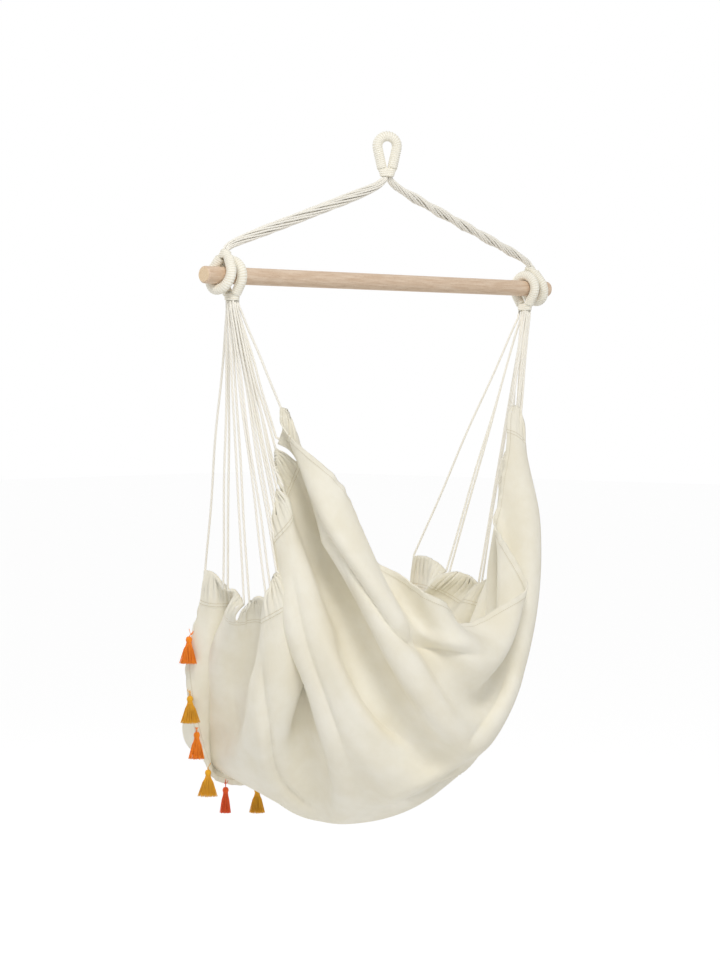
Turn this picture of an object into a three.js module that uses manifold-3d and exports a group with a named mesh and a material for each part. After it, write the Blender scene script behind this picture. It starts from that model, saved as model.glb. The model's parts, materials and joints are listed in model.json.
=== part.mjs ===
// Hammock chair: a cloth seat hung by laced cords from a round wooden spreader bar.
// Millimetres, +Z up. +X runs along the bar to the sitter's left, +Y is the back of the seat.
// The origin is where a ceiling hook bears inside the hanging eye.
import * as THREE from 'three';
import { mergeVertices } from 'three/addons/utils/BufferGeometryUtils.js';
import Module from 'manifold-3d';

const wasm = await Module();
wasm.setup();

// Clearances
const seatGap = 0.3; // between two pieces that touch
const sliver = 0.005; // thinner faces are merged after a union
const samePoint = 1e-4; // points nearer than this are one
const barPlay = 0.75; // between the bar and a served eye, all round

// Spreader bar
const barLength = 1000;
const barDiameter = 32;
const barEdgeRound = 3;
const barEdgeShares = [[1, 0], [0.7, 0.3], [0, 1]]; // of the rounding, inwards and up
const barSides = 32;
const barDrop = 276; // from the hook down to the bar's axis
const stubLength = 44; // from a bar end to the middle of its upper eye
const eyeSpacing = 29; // from an upper eye to the lower eye beside it

// Served eyes: a rope core, and one thread wound round it
const coreDiameter = 13.2;
const coreSides = 8;
const coreSteps = 20;
const threadDiameter = 2.2;
const threadSides = 5;
const threadSteps = 8; // for each turn
const startAndMiddle = [0, 0.5]; // of a step, where the gap between turns is measured
const legSpread = 14; // between the two legs of an eye where its neck binds them
const neckThickness = 17;
const neckSides = 16;

// A neck's stations: the share of its length, how full it is in width and in thickness, and how
// far each of the two has gone from the legs to the neck's end
const neckStations = [
  [0, 0.85, 0.8, 0, 0],
  [0.15, 1, 1, 0, 0],
  [0.5, 1, 1, 0.7, 0.5],
  [0.92, 1, 1, 1, 1],
  [1, 0.94, 0.94, 1, 1],
];

// Hanging eye
const hangingEyeRadius = 19;
const hangingLegReach = 57;
const hangingNeckTop = 42;
const hangingNeckEnd = 60;
const hangingNeckWidth = 28;
const hangingEyeTurn = THREE.MathUtils.degToRad(-40); // about +Z, from the bar's direction
const hangingTurns = 20;

// Upper and lower eyes
const ringLegReach = 38;
const ringNeckTop = 31;
const ringNeckEnd = 45;
const upperNeckWidth = 20;
const lowerNeckWidth = 31;
const lowerNeckThickness = 23.5;
const upperEyeLean = THREE.MathUtils.degToRad(17); // the rope pulls its top inwards
const ringTurns = 12;

// Hanging ropes: bundles of cords in a soft twist
const ropeEndDiameter = 13;
const ropeMiddleDiameter = 18.5;
const ropeStrands = 6;
const ropePointsPerStrand = 3;
const ropeGrooveShare = 0.16;
const ropeTwists = 1.6;
const ropeSteps = 20;
const ropeStart = 7.2; // from the middle of the hanging eye's neck
const ropeLead = 4; // straight out of a neck
const ropeSwellShare = 0.25; // of the rope, over which it swells from each end
const ropeBends = [[2.1, 3], [2.7, 8], [1.7, 9], [1.6, 3]]; // in leads: below or above, and along

// Suspension cords
const cordDiameter = 4.4;
const cordSides = 8;
const cordSteps = 3;
const cordSpacing = 4.8; // least distance between two centrelines
const cordLead = 6; // straight down out of the neck
const cordBendShare = 0.1; // of a cord, over which it turns from its lead to its own way
const bundleRoundness = 0.85; // of the cords where they leave the neck
const bundleRounds = 600; // in which their starts are moved apart
const bundlePush = 0.3; // of what is missing, each time
const thirdings = 22; // of a run, to find its nearest point
const stopRays = 24; // round a cord's end, to find the cloth
const slitWidth = 11; // between the two cords at one slit

// Seat cloth
const clothWidth = 1300; // from casing to casing
const clothLength = 1200; // from the back hem to the front hem
const clothThickness = 3;
const tabCount = 8;
const cellsPerTab = 3; // of the solid
const cellsAcross = 23;
const finePerCell = 3; // cells of the settling cloth for each cell of the solid, each way
const slitCells = 3; // fine cells that a slit runs inwards
const tabArch = 12; // of a tab's end edge above the straight line between its two cord ends
const casingDepth = 60; // of the gathered casing along each side
const gatherEnd = 200; // from a side edge, where the cloth is flat again
const gatherShare = 0.7; // of its flat length that the casing keeps
const cuffFold = 0.885; // share along the cloth where the front border folds outwards

// Where the side casings hang: half the width between them, and how far they lie below the bar
const casingHalfSpan = 338;
const casingDrop = 616; // from the bar's axis to the lowest slit
const casingRise = 370; // from the lowest slit up to the back corner
const casingReach = 240; // from the back corner forwards to the front corner
const casingBack = 40; // from the bar's axis back to the back corner

// The slits from the back corner to the front corner, as shares of half span, reach and rise
const slitShares = [
  [1.0, 0.0, 1.0],
  [1.0, 0.05, 0.81],
  [1.0, 0.04, 0.61],
  [1.0, 0.03, 0.42],
  [1.0, 0.04, 0.19],
  [1.01, 0.12, 0.03],
  [1.01, 0.37, 0.0],
  [0.96, 0.68, 0.06],
  [0.9, 1.0, 0.15],
];

// How the middle of the cloth hangs from the back hem to the front hem
const seatSag = 500; // from the lowest slit to the bottom of the bag
const seatDepth = 750; // from the back bulge to the front lip
const seatBack = 262; // from the bar's axis back to the back bulge
const middleShares = [
  [0.0, 0.05, 0.06],
  [0.14, 0.0, 0.42],
  [0.3, 0.06, 0.82],
  [0.425, 0.21, 1.0],
  [0.555, 0.42, 1.02],
  [0.705, 0.69, 0.9],
  [0.845, 0.95, 0.68],
  [0.88, 0.99, 0.6],
  [1.0, 0.85, 0.8],
];

// How late a row's depth and height leave the middle on their way to the casings, and how much
// of the cuff's flare it has
const rowBends = [
  [0.0, 2.0, 2.0, 0],
  [0.45, 1.7, 2.5, 0],
  [0.86, 2.6, 3.5, 0],
  [1.0, 2.6, 3.0, 1],
];
const cuffFlare = 40; // sideways, halfway up to a casing
const cuffTurn = 1.6; // backwards, as a share of that
const rowSamples = 40; // for half a row

// How the cloth settles
const bendShares = [[2, 0.97], [4, 0.92], [7, 0.8]]; // cells, and what a bend over them keeps
const bendStiffness = 0.5;
const shearStiffness = 0.35;
const settleRounds = 150;
const sweepsPerRound = 8;
const settleDamping = 0.9;
const fall = 0.2; // each round
const foldGap = 12; // between two layers
const guidePull = 0.3; // towards the starting shape, for the first rounds
const lateGuidePull = 0.06;
const guidedShare = 0.8; // of the rounds
const guideWidth = 5; // cells, below which the folds are left free
const edgeGuide = 0.3; // more, along the back and front hems
const edgeReach = 0.12; // share of the cloth's length
const easePasses = 2;
const easePull = 0.4;
const solidEasePasses = 6;

// Tassels on the front hem
const tasselCount = 11;
const tasselFirst = 88; // along the hem from a corner
const tieLength = 17;
const tieGap = 0.3; // to the hem's edge
const tieDiameter = 2.2;
const tieTipRadius = 0.3; // where it meets the hem
const tieTipLength = 1.2;
const headDiameter = 12;
const headHeight = 12;
const skirtLength = 42;
const skirtTopDiameter = 10.5;
const skirtWidest = 40;
const headShares = [[0.12, 0.72], [0.5, 1], [0.88, 0.72]]; // down the head, and of its radius
const skirtShares = [[0.12, 0], [0.45, 0.55], [0.85, 0.92], [1, 1]]; // down it, and of its flare
const skirtFlareShares = [1.0, 0.75, 0.58, 0.86, 0.58, 0.84]; // from a corner to the middle
const tasselSides = 12;
const tasselFluteShare = 0.12;
const tasselSwing = THREE.MathUtils.degToRad(35);
const tasselGap = 1.2; // to the cloth, at rest and swung
const tieSamples = 12;
const tieClearShare = 0.7; // of the tie's gap, to the cloth all along the tie
const slideShares = [0, 0.2, 0.4, 0.6, 0.8]; // of the tie, how far the head may hang sideways
const hemShift = 7;
const hemShifts = 4; // each way
const swingWays = 16;
const swingSteps = 4; // at which the swing is tried
const halfAndWhole = [0.5, 1]; // of the way from one height of the tassel to the next
const pressedShares = [1, 0.8, 0.65, 0.5]; // of the skirt's own width, where the cloth is close

// Worked out from the sizes above
const halfCloth = clothThickness / 2;
const coreRadius = coreDiameter / 2;
const threadRadius = threadDiameter / 2;
const threadOrbit = (coreRadius + seatGap + threadRadius) / Math.cos(Math.PI / threadSteps);
const servedRadius = threadOrbit + threadRadius;
const ringRadius = barDiameter / 2 + barPlay + servedRadius;
const upperEyeX = barLength / 2 - stubLength;
const lowerEyeX = upperEyeX - eyeSpacing;
const cellsAlong = tabCount * cellsPerTab;

const vec = (x, y, z) => new THREE.Vector3(x, y, z);
const mix = THREE.MathUtils.lerp;

// Geometry helpers

function ringOfPoints(centre, across, up, halfAcross, halfUp, sides, shape = () => 1) {
  return Array.from({ length: sides }, (_, side) => {
    const angle = (2 * Math.PI * side) / sides;
    const reach = shape(angle, side);
    return centre.clone()
      .addScaledVector(across, Math.cos(angle) * halfAcross * reach)
      .addScaledVector(up, Math.sin(angle) * halfUp * reach);
  });
}

function geometryFrom(points, index) {
  const geometry = new THREE.BufferGeometry().setFromPoints(points);
  geometry.setIndex(index);
  return geometry;
}

// A closed skin through rings with the same number of points, with a fan of faces on each end
function loft(rings) {
  const sides = rings[0].length;
  const points = rings.flat();
  const index = [];
  for (let row = 0; row < rings.length - 1; row++) {
    for (let side = 0; side < sides; side++) {
      const a = row * sides + side;
      const b = row * sides + ((side + 1) % sides);
      index.push(a, b, b + sides, a, b + sides, a + sides);
    }
  }
  for (const [ring, start, flipped] of [
    [rings[0], 0, true],
    [rings.at(-1), (rings.length - 1) * sides, false],
  ]) {
    const middle = points.length;
    points.push(ring.reduce((sum, p) => sum.add(p), vec(0, 0, 0)).divideScalar(sides));
    for (let side = 0; side < sides; side++) {
      const a = start + side;
      const b = start + ((side + 1) % sides);
      index.push(...(flipped ? [middle, b, a] : [middle, a, b]));
    }
  }
  return geometryFrom(points, index);
}

function roundSection(radius, sides) {
  const outline = ringOfPoints(vec(0, 0, 0), vec(1, 0, 0), vec(0, 1, 0), radius, radius, sides);
  return new THREE.Shape(outline.map((p) => new THREE.Vector2(p.x, p.y)));
}

function tube(path, radius, sides, steps) {
  return new THREE.ExtrudeGeometry(roundSection(radius, sides), { extrudePath: path, steps });
}

function toSolid(geometry) {
  const bare = geometry.clone();
  bare.deleteAttribute('normal');
  bare.deleteAttribute('uv');
  const merged = mergeVertices(bare, samePoint);
  return new wasm.Manifold(new wasm.Mesh({
    numProp: 3,
    vertProperties: new Float32Array(merged.attributes.position.array),
    triVerts: new Uint32Array(merged.index.array),
  }));
}

function toGeometry(solid) {
  const mesh = solid.simplify(sliver).getMesh();
  const geometry = new THREE.BufferGeometry();
  geometry.setAttribute('position', new THREE.BufferAttribute(mesh.vertProperties, 3));
  geometry.setIndex(new THREE.BufferAttribute(mesh.triVerts, 1));
  return geometry;
}

// Materials

const finish = (color, roughness) => new THREE.MeshStandardMaterial({ color, roughness, metalness: 0 });
const beech = finish('#d9bb97', 0.55);
const cottonRope = finish('#efe9d8', 0.9);
const servingThread = finish('#f3eee0', 0.85);
const canvas = finish('#eee9da', 0.95);
const orangeYarn = finish('#ff7f14', 0.85);
const mustardYarn = finish('#e09a1e', 0.85);
const redYarn = finish('#e84b22', 0.85);
const tasselYarns = [ // from a corner to the middle
  orangeYarn, mustardYarn, orangeYarn, mustardYarn, redYarn, mustardYarn,
];

const chair = new THREE.Group();

function addPiece(name, geometry, material) {
  const mesh = new THREE.Mesh(geometry, material);
  mesh.name = name;
  chair.add(mesh);
  return mesh;
}

// Spreader bar: a dowel with rounded ends, turned about its own axis

function makeBar() {
  const half = barLength / 2;
  const radius = barDiameter / 2;
  const lowEnd = barEdgeShares.map(([inwards, up]) => new THREE.Vector2(
    radius - barEdgeRound * inwards, -half + barEdgeRound * up));
  const highEnd = lowEnd.map((p) => new THREE.Vector2(p.x, -p.y)).reverse();
  const profile = [new THREE.Vector2(0, -half), ...lowEnd, ...highEnd, new THREE.Vector2(0, half)];
  const geometry = new THREE.LatheGeometry(profile, barSides);
  geometry.rotateZ(-Math.PI / 2);
  return geometry;
}

addPiece('spreader_bar', makeBar(), beech).position.z = -barDrop;

// Served eyes

// The rope's way from one leg, round the crown and down the other leg.
// s is sideways and h runs from the middle of the eye towards its neck.
class EyePath extends THREE.Curve {
  constructor({ middle, side, neckward, radius, legReach }) {
    super();
    Object.assign(this, { middle, side, neckward, radius, legReach });
    const legFoot = Math.hypot(legSpread / 2, legReach);
    this.touch = Math.acos(radius / legFoot) + Math.atan2(legSpread / 2, legReach);
    this.leg = Math.sqrt(legFoot ** 2 - radius ** 2);
    this.length = 2 * this.leg + radius * (2 * Math.PI - 2 * this.touch);
  }

  flatPoint(distance) {
    const fromEnd = Math.min(distance, this.length - distance);
    const hand = distance < this.length / 2 ? -1 : 1;
    if (fromEnd < this.leg) {
      const share = fromEnd / this.leg;
      return [
        hand * mix(legSpread / 2, this.radius * Math.sin(this.touch), share),
        mix(this.legReach, this.radius * Math.cos(this.touch), share),
      ];
    }
    const angle = this.touch + (fromEnd - this.leg) / this.radius;
    return [hand * this.radius * Math.sin(angle), this.radius * Math.cos(angle)];
  }

  // How far along a leg the rope is when it is this far from the middle
  legDistance(h) {
    return (this.leg * (this.legReach - h)) / (this.legReach - this.radius * Math.cos(this.touch));
  }

  place(s, h) {
    return this.middle.clone().addScaledVector(this.side, s).addScaledVector(this.neckward, h);
  }

  getPoint(t) {
    return this.place(...this.flatPoint(t * this.length));
  }
}

function makeNeck(path, neckTop, neckEnd, neckWidth, endThickness) {
  const down = path.neckward.clone().normalize();
  const thick = new THREE.Vector3().crossVectors(down, path.side);
  const legsHalf = Math.abs(path.flatPoint(path.legDistance(neckTop))[0]) + servedRadius;
  return loft(neckStations.map(([share, fullWide, fullThick, wideTo, thickTo]) => {
    const half = fullWide * mix(legsHalf, neckWidth / 2, wideTo);
    const halfThick = fullThick * mix(neckThickness / 2, endThickness / 2, thickTo);
    const centre = path.place(0, mix(neckTop, neckEnd, share));
    return ringOfPoints(centre, path.side, thick, half, halfThick, neckSides);
  }));
}

function makeCore(path, neck) {
  return toGeometry(toSolid(tube(path, coreRadius, coreSides, coreSteps)).add(toSolid(neck)));
}

// One unbroken thread: a helix round the core, with a straight run at each end
function makeWinding(path, neckTop, turns, name) {
  const margin = path.legDistance(neckTop - seatGap - threadRadius - threadDiameter);
  const plane = new THREE.Vector3().crossVectors(path.side, path.neckward).normalize();
  const steps = turns * threadSteps;
  const centres = [];
  const outwards = [];
  const tangentAt = (distance) => path.getTangent(distance / path.length);
  for (let step = 0; step <= steps; step++) {
    const distance = mix(margin, path.length - margin, step / steps);
    const inPlane = new THREE.Vector3().crossVectors(plane, tangentAt(distance)).normalize();
    const angle = (2 * Math.PI * step) / threadSteps;
    const outward = inPlane.multiplyScalar(Math.cos(angle)).addScaledVector(plane, Math.sin(angle));
    outwards.push(outward);
    centres.push(path.getPoint(distance / path.length).addScaledVector(outward, threadOrbit));
  }
  const startTangent = tangentAt(margin);
  const endTangent = tangentAt(path.length - margin);
  centres.unshift(centres[0].clone().addScaledVector(startTangent, -threadDiameter));
  outwards.unshift(outwards[0].clone());
  centres.push(centres.at(-1).clone().addScaledVector(endTangent, threadDiameter));
  outwards.push(outwards.at(-1).clone());
  const rings = centres.map((centre, i) => {
    const ahead = centres[Math.min(i + 1, centres.length - 1)].clone()
      .sub(centres[Math.max(i - 1, 0)]).normalize();
    const sideways = new THREE.Vector3().crossVectors(ahead, outwards[i]).normalize();
    const outward = new THREE.Vector3().crossVectors(sideways, ahead);
    return ringOfPoints(centre, outward, sideways, threadRadius, threadRadius, threadSides);
  });
  console.log(name, 'least gap to itself', leastSelfGap(centres).toFixed(2), 'mm');
  return loft(rings);
}

function leastSelfGap(centres) {
  let least = Infinity;
  for (let i = 0; i < centres.length - 1; i++) {
    for (let j = i + threadSteps / 2; j < centres.length - 1; j++) {
      for (const a of startAndMiddle) {
        for (const b of startAndMiddle) {
          const here = centres[i].clone().lerp(centres[i + 1], a);
          const there = centres[j].clone().lerp(centres[j + 1], b);
          least = Math.min(least, here.distanceTo(there));
        }
      }
    }
  }
  return least - threadDiameter;
}

function addEye(name, path, { neckTop, neckEnd, neckWidth, endThickness, turns }) {
  const neck = makeNeck(path, neckTop, neckEnd, neckWidth, endThickness);
  addPiece(name, makeCore(path, neck), cottonRope);
  addPiece(`${name}_winding`, makeWinding(path, neckTop, turns, name), servingThread);
  return path;
}

const hangingPath = addEye('hanging_eye', new EyePath({
  middle: vec(0, 0, servedRadius - hangingEyeRadius),
  side: vec(Math.cos(hangingEyeTurn), Math.sin(hangingEyeTurn), 0),
  neckward: vec(0, 0, -1),
  radius: hangingEyeRadius,
  legReach: hangingLegReach,
}), {
  neckTop: hangingNeckTop,
  neckEnd: hangingNeckEnd,
  neckWidth: hangingNeckWidth,
  endThickness: hangingNeckWidth,
  turns: hangingTurns,
});

// Upper eyes carry the bar in their lower inside, and lower eyes hang on its top.
function addRingEyes(hand, label) {
  const upper = addEye(`upper_eye_${label}`, new EyePath({
    middle: vec(hand * upperEyeX, 0, barPlay - seatGap - barDrop),
    side: vec(0, hand, 0),
    neckward: vec(-hand * Math.tan(upperEyeLean), 0, 1),
    radius: ringRadius,
    legReach: ringLegReach,
  }), {
    neckTop: ringNeckTop,
    neckEnd: ringNeckEnd,
    neckWidth: upperNeckWidth,
    endThickness: upperNeckWidth,
    turns: ringTurns,
  });
  const lower = addEye(`lower_eye_${label}`, new EyePath({
    middle: vec(hand * lowerEyeX, 0, seatGap - barPlay - barDrop),
    side: vec(0, -hand, 0),
    neckward: vec(0, 0, -1),
    radius: ringRadius,
    legReach: ringLegReach,
  }), {
    neckTop: ringNeckTop,
    neckEnd: ringNeckEnd,
    neckWidth: lowerNeckWidth,
    endThickness: lowerNeckThickness,
    turns: ringTurns,
  });
  return { upper, lower };
}

// Hanging ropes

function makeHangingRope(hand, upperPath) {
  const neckOut = upperPath.neckward.clone().normalize();
  const low = upperPath.place(0, ringNeckEnd).addScaledVector(neckOut, seatGap);
  const high = hangingPath.place(0, hangingNeckEnd).add(vec(hand * ropeStart, 0, -seatGap));
  const slope = Math.atan2(high.z - low.z, Math.abs(low.x - high.x));
  const along = vec(hand * Math.cos(slope), 0, -Math.sin(slope));
  const path = new THREE.CatmullRomCurve3([
    high,
    high.clone().add(vec(0, 0, -ropeLead)),
    ...ropeBends.slice(0, 2).map(([down, out]) => (
      high.clone().add(vec(0, 0, -down * ropeLead)).addScaledVector(along, out * ropeLead))),
    ...ropeBends.slice(2).map(([up, out]) => (
      low.clone().add(vec(0, 0, up * ropeLead)).addScaledVector(along, -out * ropeLead))),
    low.clone().addScaledVector(neckOut, ropeLead),
    low,
  ], false, 'centripetal');
  const flutes = ropeStrands * ropePointsPerStrand;
  const level = vec(0, 1, 0); // the rope lies in the upright plane of the bar
  const rings = Array.from({ length: ropeSteps + 1 }, (_, step) => {
    const share = (1 - Math.cos((Math.PI * step) / ropeSteps)) / 2; // closer together at the ends
    const centre = path.getPointAt(share);
    const tangent = path.getTangentAt(share);
    const upright = new THREE.Vector3().crossVectors(tangent, level);
    const swell = Math.sin((Math.PI / 2) * Math.min(1, Math.min(share, 1 - share) / ropeSwellShare));
    const radius = mix(ropeEndDiameter, ropeMiddleDiameter, swell) / 2;
    const turn = 2 * Math.PI * ropeTwists * share;
    const across = level.clone().applyAxisAngle(tangent, turn);
    const up = upright.applyAxisAngle(tangent, turn);
    const strand = (_, side) => (side % ropePointsPerStrand === 0 ? 1 - ropeGrooveShare : 1);
    return ringOfPoints(centre, across, up, radius, radius, flutes, strand);
  });
  return loft(rings);
}

// Suspension cords

// The tabs' ends along a side: the slit's own number, and which side of the slit
const tabEnds = Array.from({ length: 2 * tabCount }, (_, run) => ({
  slit: Math.ceil(run / 2),
  offset: run % 2 === 0 ? 1 : -1,
}));
tabEnds[0].offset = 0;
tabEnds[2 * tabCount - 1].offset = 0;

function slitPoint(hand, slit) {
  const [spanShare, reachShare, riseShare] = slitShares[slit];
  return vec(
    hand * casingHalfSpan * spanShare,
    casingBack - casingReach * reachShare,
    casingRise * riseShare - casingDrop - barDrop,
  );
}

function tabEndPoint(hand, { slit, offset }) {
  if (offset === 0) return slitPoint(hand, slit);
  const along = slitPoint(hand, slit + 1).sub(slitPoint(hand, slit - 1)).normalize();
  return slitPoint(hand, slit)
    .addScaledVector(along, (offset * slitWidth) / 2)
    .add(vec((hand * offset * cordSpacing) / 2, 0, 0));
}

// The cords start close together under the neck. Where two of them would come too near each
// other on the way, their starts are moved apart.
function cordStarts(hand, neckCentre, ends) {
  const halfWide = (lowerNeckWidth - cordDiameter) / 2;
  const halfThick = bundleRoundness * halfWide;
  const leans = ends.map((end) => {
    const way = end.clone().sub(neckCentre);
    return way.multiplyScalar(-1 / way.z).setZ(0);
  });
  const meanLean = leans.reduce((sum, lean) => sum.add(lean), vec(0, 0, 0)).divideScalar(leans.length);
  const widest = Math.max(...leans.map((lean) => lean.distanceTo(meanLean)));
  const starts = leans.map((lean) => (
    neckCentre.clone().addScaledVector(lean.sub(meanLean), halfWide / widest)));
  const [near, far] = [new THREE.Vector3(), new THREE.Vector3()];
  for (let round = 0; round < bundleRounds; round++) {
    for (let i = 0; i < ends.length; i++) {
      for (let j = i + 1; j < ends.length; j++) {
        const share = closestShares(starts[i], ends[i], starts[j], ends[j], near, far);
        const apart = near.clone().sub(far);
        const short = cordSpacing - apart.length();
        if (short <= 0) continue;
        apart.setZ(0).normalize()
          .multiplyScalar((bundlePush * short) / Math.max(bundlePush, 1 - share));
        starts[i].add(apart);
        starts[j].sub(apart);
      }
    }
    for (const start of starts) {
      const out = Math.hypot((start.x - neckCentre.x) / halfThick, (start.y - neckCentre.y) / halfWide);
      if (out <= 1) continue;
      start.x = mix(neckCentre.x, start.x, 1 / out);
      start.y = mix(neckCentre.y, start.y, 1 / out);
    }
  }
  return starts;
}

// The nearest points of two straight runs, and how far down the first run they are
function closestShares(a0, a1, b0, b1, near, far) {
  let [low, high] = [0, 1];
  const runB = new THREE.Line3(b0, b1);
  const distanceAt = (share) => {
    near.lerpVectors(a0, a1, share);
    runB.closestPointToPoint(near, true, far);
    return near.distanceTo(far);
  };
  for (let thirding = 0; thirding < thirdings; thirding++) {
    const third = (high - low) / 3;
    if (distanceAt(low + third) < distanceAt(high - third)) high -= third;
    else low += third;
  }
  distanceAt((low + high) / 2);
  return (low + high) / 2;
}

// Seat cloth: a fine grid of cells that is hung from the tab ends and settles under its own
// weight. The solid has every third node of it.

class Sheet {
  constructor(across, perTab, slitDepth) {
    Object.assign(this, { across, perTab, slitDepth, along: perTab * tabCount });
    Object.assign(this, { nodes: [], known: new Map() });
    this.cells = [];
    for (let j = 0; j < this.along; j++) {
      const tab = Math.floor(j / perTab);
      for (let i = 0; i < across; i++) {
        const corners = [[0, 0], [1, 0], [1, 1], [0, 1]];
        this.cells.push(corners.map(([di, dj]) => this.nodeAt(i + di, j + dj, tab)));
      }
    }
  }

  besideSlit(i) {
    return i < this.slitDepth || i > this.across - this.slitDepth;
  }

  // A slit has two nodes at each place, one for each tab
  nodeAt(i, j, tab) {
    const split = this.besideSlit(i) && j % this.perTab === 0 && j > 0 && j < this.along;
    const key = `${i} ${j} ${split ? tab : ''}`;
    if (!this.known.has(key)) {
      this.known.set(key, this.nodes.length);
      this.nodes.push({ i, j });
    }
    return this.known.get(key);
  }

  // Two nodes this far apart, or null past an edge or across a slit
  reach(i, j, di, dj) {
    if (i + di > this.across || j + dj > this.along) return null;
    const crossesSlit = Math.floor(j / this.perTab) !== Math.floor((j + dj - 1) / this.perTab);
    if (dj > 0 && this.besideSlit(i) && crossesSlit) return null;
    const tab = Math.floor(Math.min(j, this.along - 1) / this.perTab);
    return [this.nodeAt(i, j, tab), this.nodeAt(i + di, j + dj, tab)];
  }
}

const fineSheet = new Sheet(cellsAcross * finePerCell, cellsPerTab * finePerCell, slitCells);
const sheet = new Sheet(cellsAcross, cellsPerTab, slitCells / finePerCell);
const smoothShare = (share) => THREE.MathUtils.smoothstep(share, 0, 1);

// The links in sets in which no node comes twice
function sheetLinks() {
  const { across, along, nodes, cells } = fineSheet;
  const wide = clothWidth / across;
  const long = clothLength / along;
  const gather = Array.from({ length: across + 1 }, (_, i) => {
    const share = (Math.min(i, across - i) * wide - casingDepth) / (gatherEnd - casingDepth);
    return gatherShare + (1 - gatherShare) * smoothShare(share);
  });
  const links = new Map();
  const link = (ends, rest, stiff, onlyShort = false) => {
    const [a, b] = [Math.min(...ends), Math.max(...ends)];
    const key = a * nodes.length + b;
    if (!links.has(key)) links.set(key, { a, b, rest, stiff, onlyShort });
  };
  for (const [a, b, c, d] of cells) {
    const { i } = nodes[a];
    const slant = Math.hypot(wide, (long * (gather[i] + gather[i + 1])) / 2);
    link([a, b], wide, 1);
    link([d, c], wide, 1);
    link([a, d], long * gather[i], 1);
    link([b, c], long * gather[i + 1], 1);
    link([a, c], slant, shearStiffness);
    link([b, d], slant, shearStiffness);
  }
  const foldRow = Math.floor(along * cuffFold);
  for (let j = 0; j <= along; j++) {
    for (let i = 0; i <= across; i++) {
      for (const [cells, share] of bendShares) {
        const sideways = fineSheet.reach(i, j, cells, 0);
        if (sideways) link(sideways, cells * wide * share, bendStiffness, true);
        const onwards = j < foldRow && foldRow < j + cells ? null : fineSheet.reach(i, j, 0, cells);
        if (onwards) link(onwards, cells * long * share * gather[i], bendStiffness, true);
      }
    }
  }
  const taken = nodes.map(() => new Set());
  const sets = [];
  for (const one of links.values()) {
    let number = 0;
    while (taken[one.a].has(number) || taken[one.b].has(number)) number++;
    taken[one.a].add(number);
    taken[one.b].add(number);
    (sets[number] ??= []).push(one);
  }
  return sets.flat();
}

// The values beside a share in a table, mixed between the two rows that hold it
function between(table, share) {
  const at = Math.max(1, table.findIndex(([end]) => end >= share));
  const [start, ...low] = table[at - 1];
  const [end, ...high] = table[at];
  return low.map((value, k) => mix(value, high[k], (share - start) / (end - start)));
}

function middlePoint(v) {
  const [back, sag] = between(middleShares, v);
  return { y: seatBack - seatDepth * back, z: -barDrop - casingDrop - seatSag * sag };
}

function casingPoint(v) {
  const place = v * tabCount;
  const slit = Math.min(Math.floor(place), tabCount - 1);
  return slitPoint(1, slit).lerp(slitPoint(1, slit + 1), place - slit);
}

// One row of the cloth at the start, from casing to casing, as a share of its own length
function startRow(v) {
  const edge = casingPoint(v);
  const middle = middlePoint(v);
  const [depthBend, heightBend, flareShare] = between(rowBends, v);
  const samples = Array.from({ length: 2 * rowSamples + 1 }, (_, k) => {
    const out = k / rowSamples - 1;
    const flare = flareShare * cuffFlare * Math.sin(Math.PI * out ** 2);
    return vec(
      -out * edge.x - Math.sign(out) * flare,
      mix(middle.y, edge.y, Math.abs(out) ** depthBend) + cuffTurn * flare,
      mix(middle.z, edge.z, Math.abs(out) ** heightBend),
    );
  });
  const reach = [0];
  samples.slice(1).forEach((p, k) => reach.push(reach[k] + p.distanceTo(samples[k])));
  return (u) => {
    const wanted = u * reach.at(-1);
    const k = Math.max(1, reach.findIndex((r) => r >= wanted));
    return samples[k - 1].clone().lerp(samples[k], (wanted - reach[k - 1]) / (reach[k] - reach[k - 1]));
  };
}

// Each tab's end edge, gathered on its cord in a low arch between the cord's two ends
function tabPins() {
  const pins = new Map();
  for (const [hand, i] of [[1, 0], [-1, fineSheet.across]]) {
    const eye = vec(hand * lowerEyeX, 0, -barDrop);
    for (let tab = 0; tab < tabCount; tab++) {
      const [first, last] = tabEnds.slice(2 * tab, 2 * tab + 2).map((end) => tabEndPoint(hand, end));
      for (let k = 0; k <= fineSheet.perTab; k++) {
        const share = k / fineSheet.perTab;
        const point = first.clone().lerp(last, share);
        const up = eye.clone().sub(point).normalize();
        point.addScaledVector(up, tabArch * 4 * share * (1 - share));
        pins.set(fineSheet.nodeAt(i, tab * fineSheet.perTab + k, tab), point);
      }
    }
  }
  return pins;
}

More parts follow.
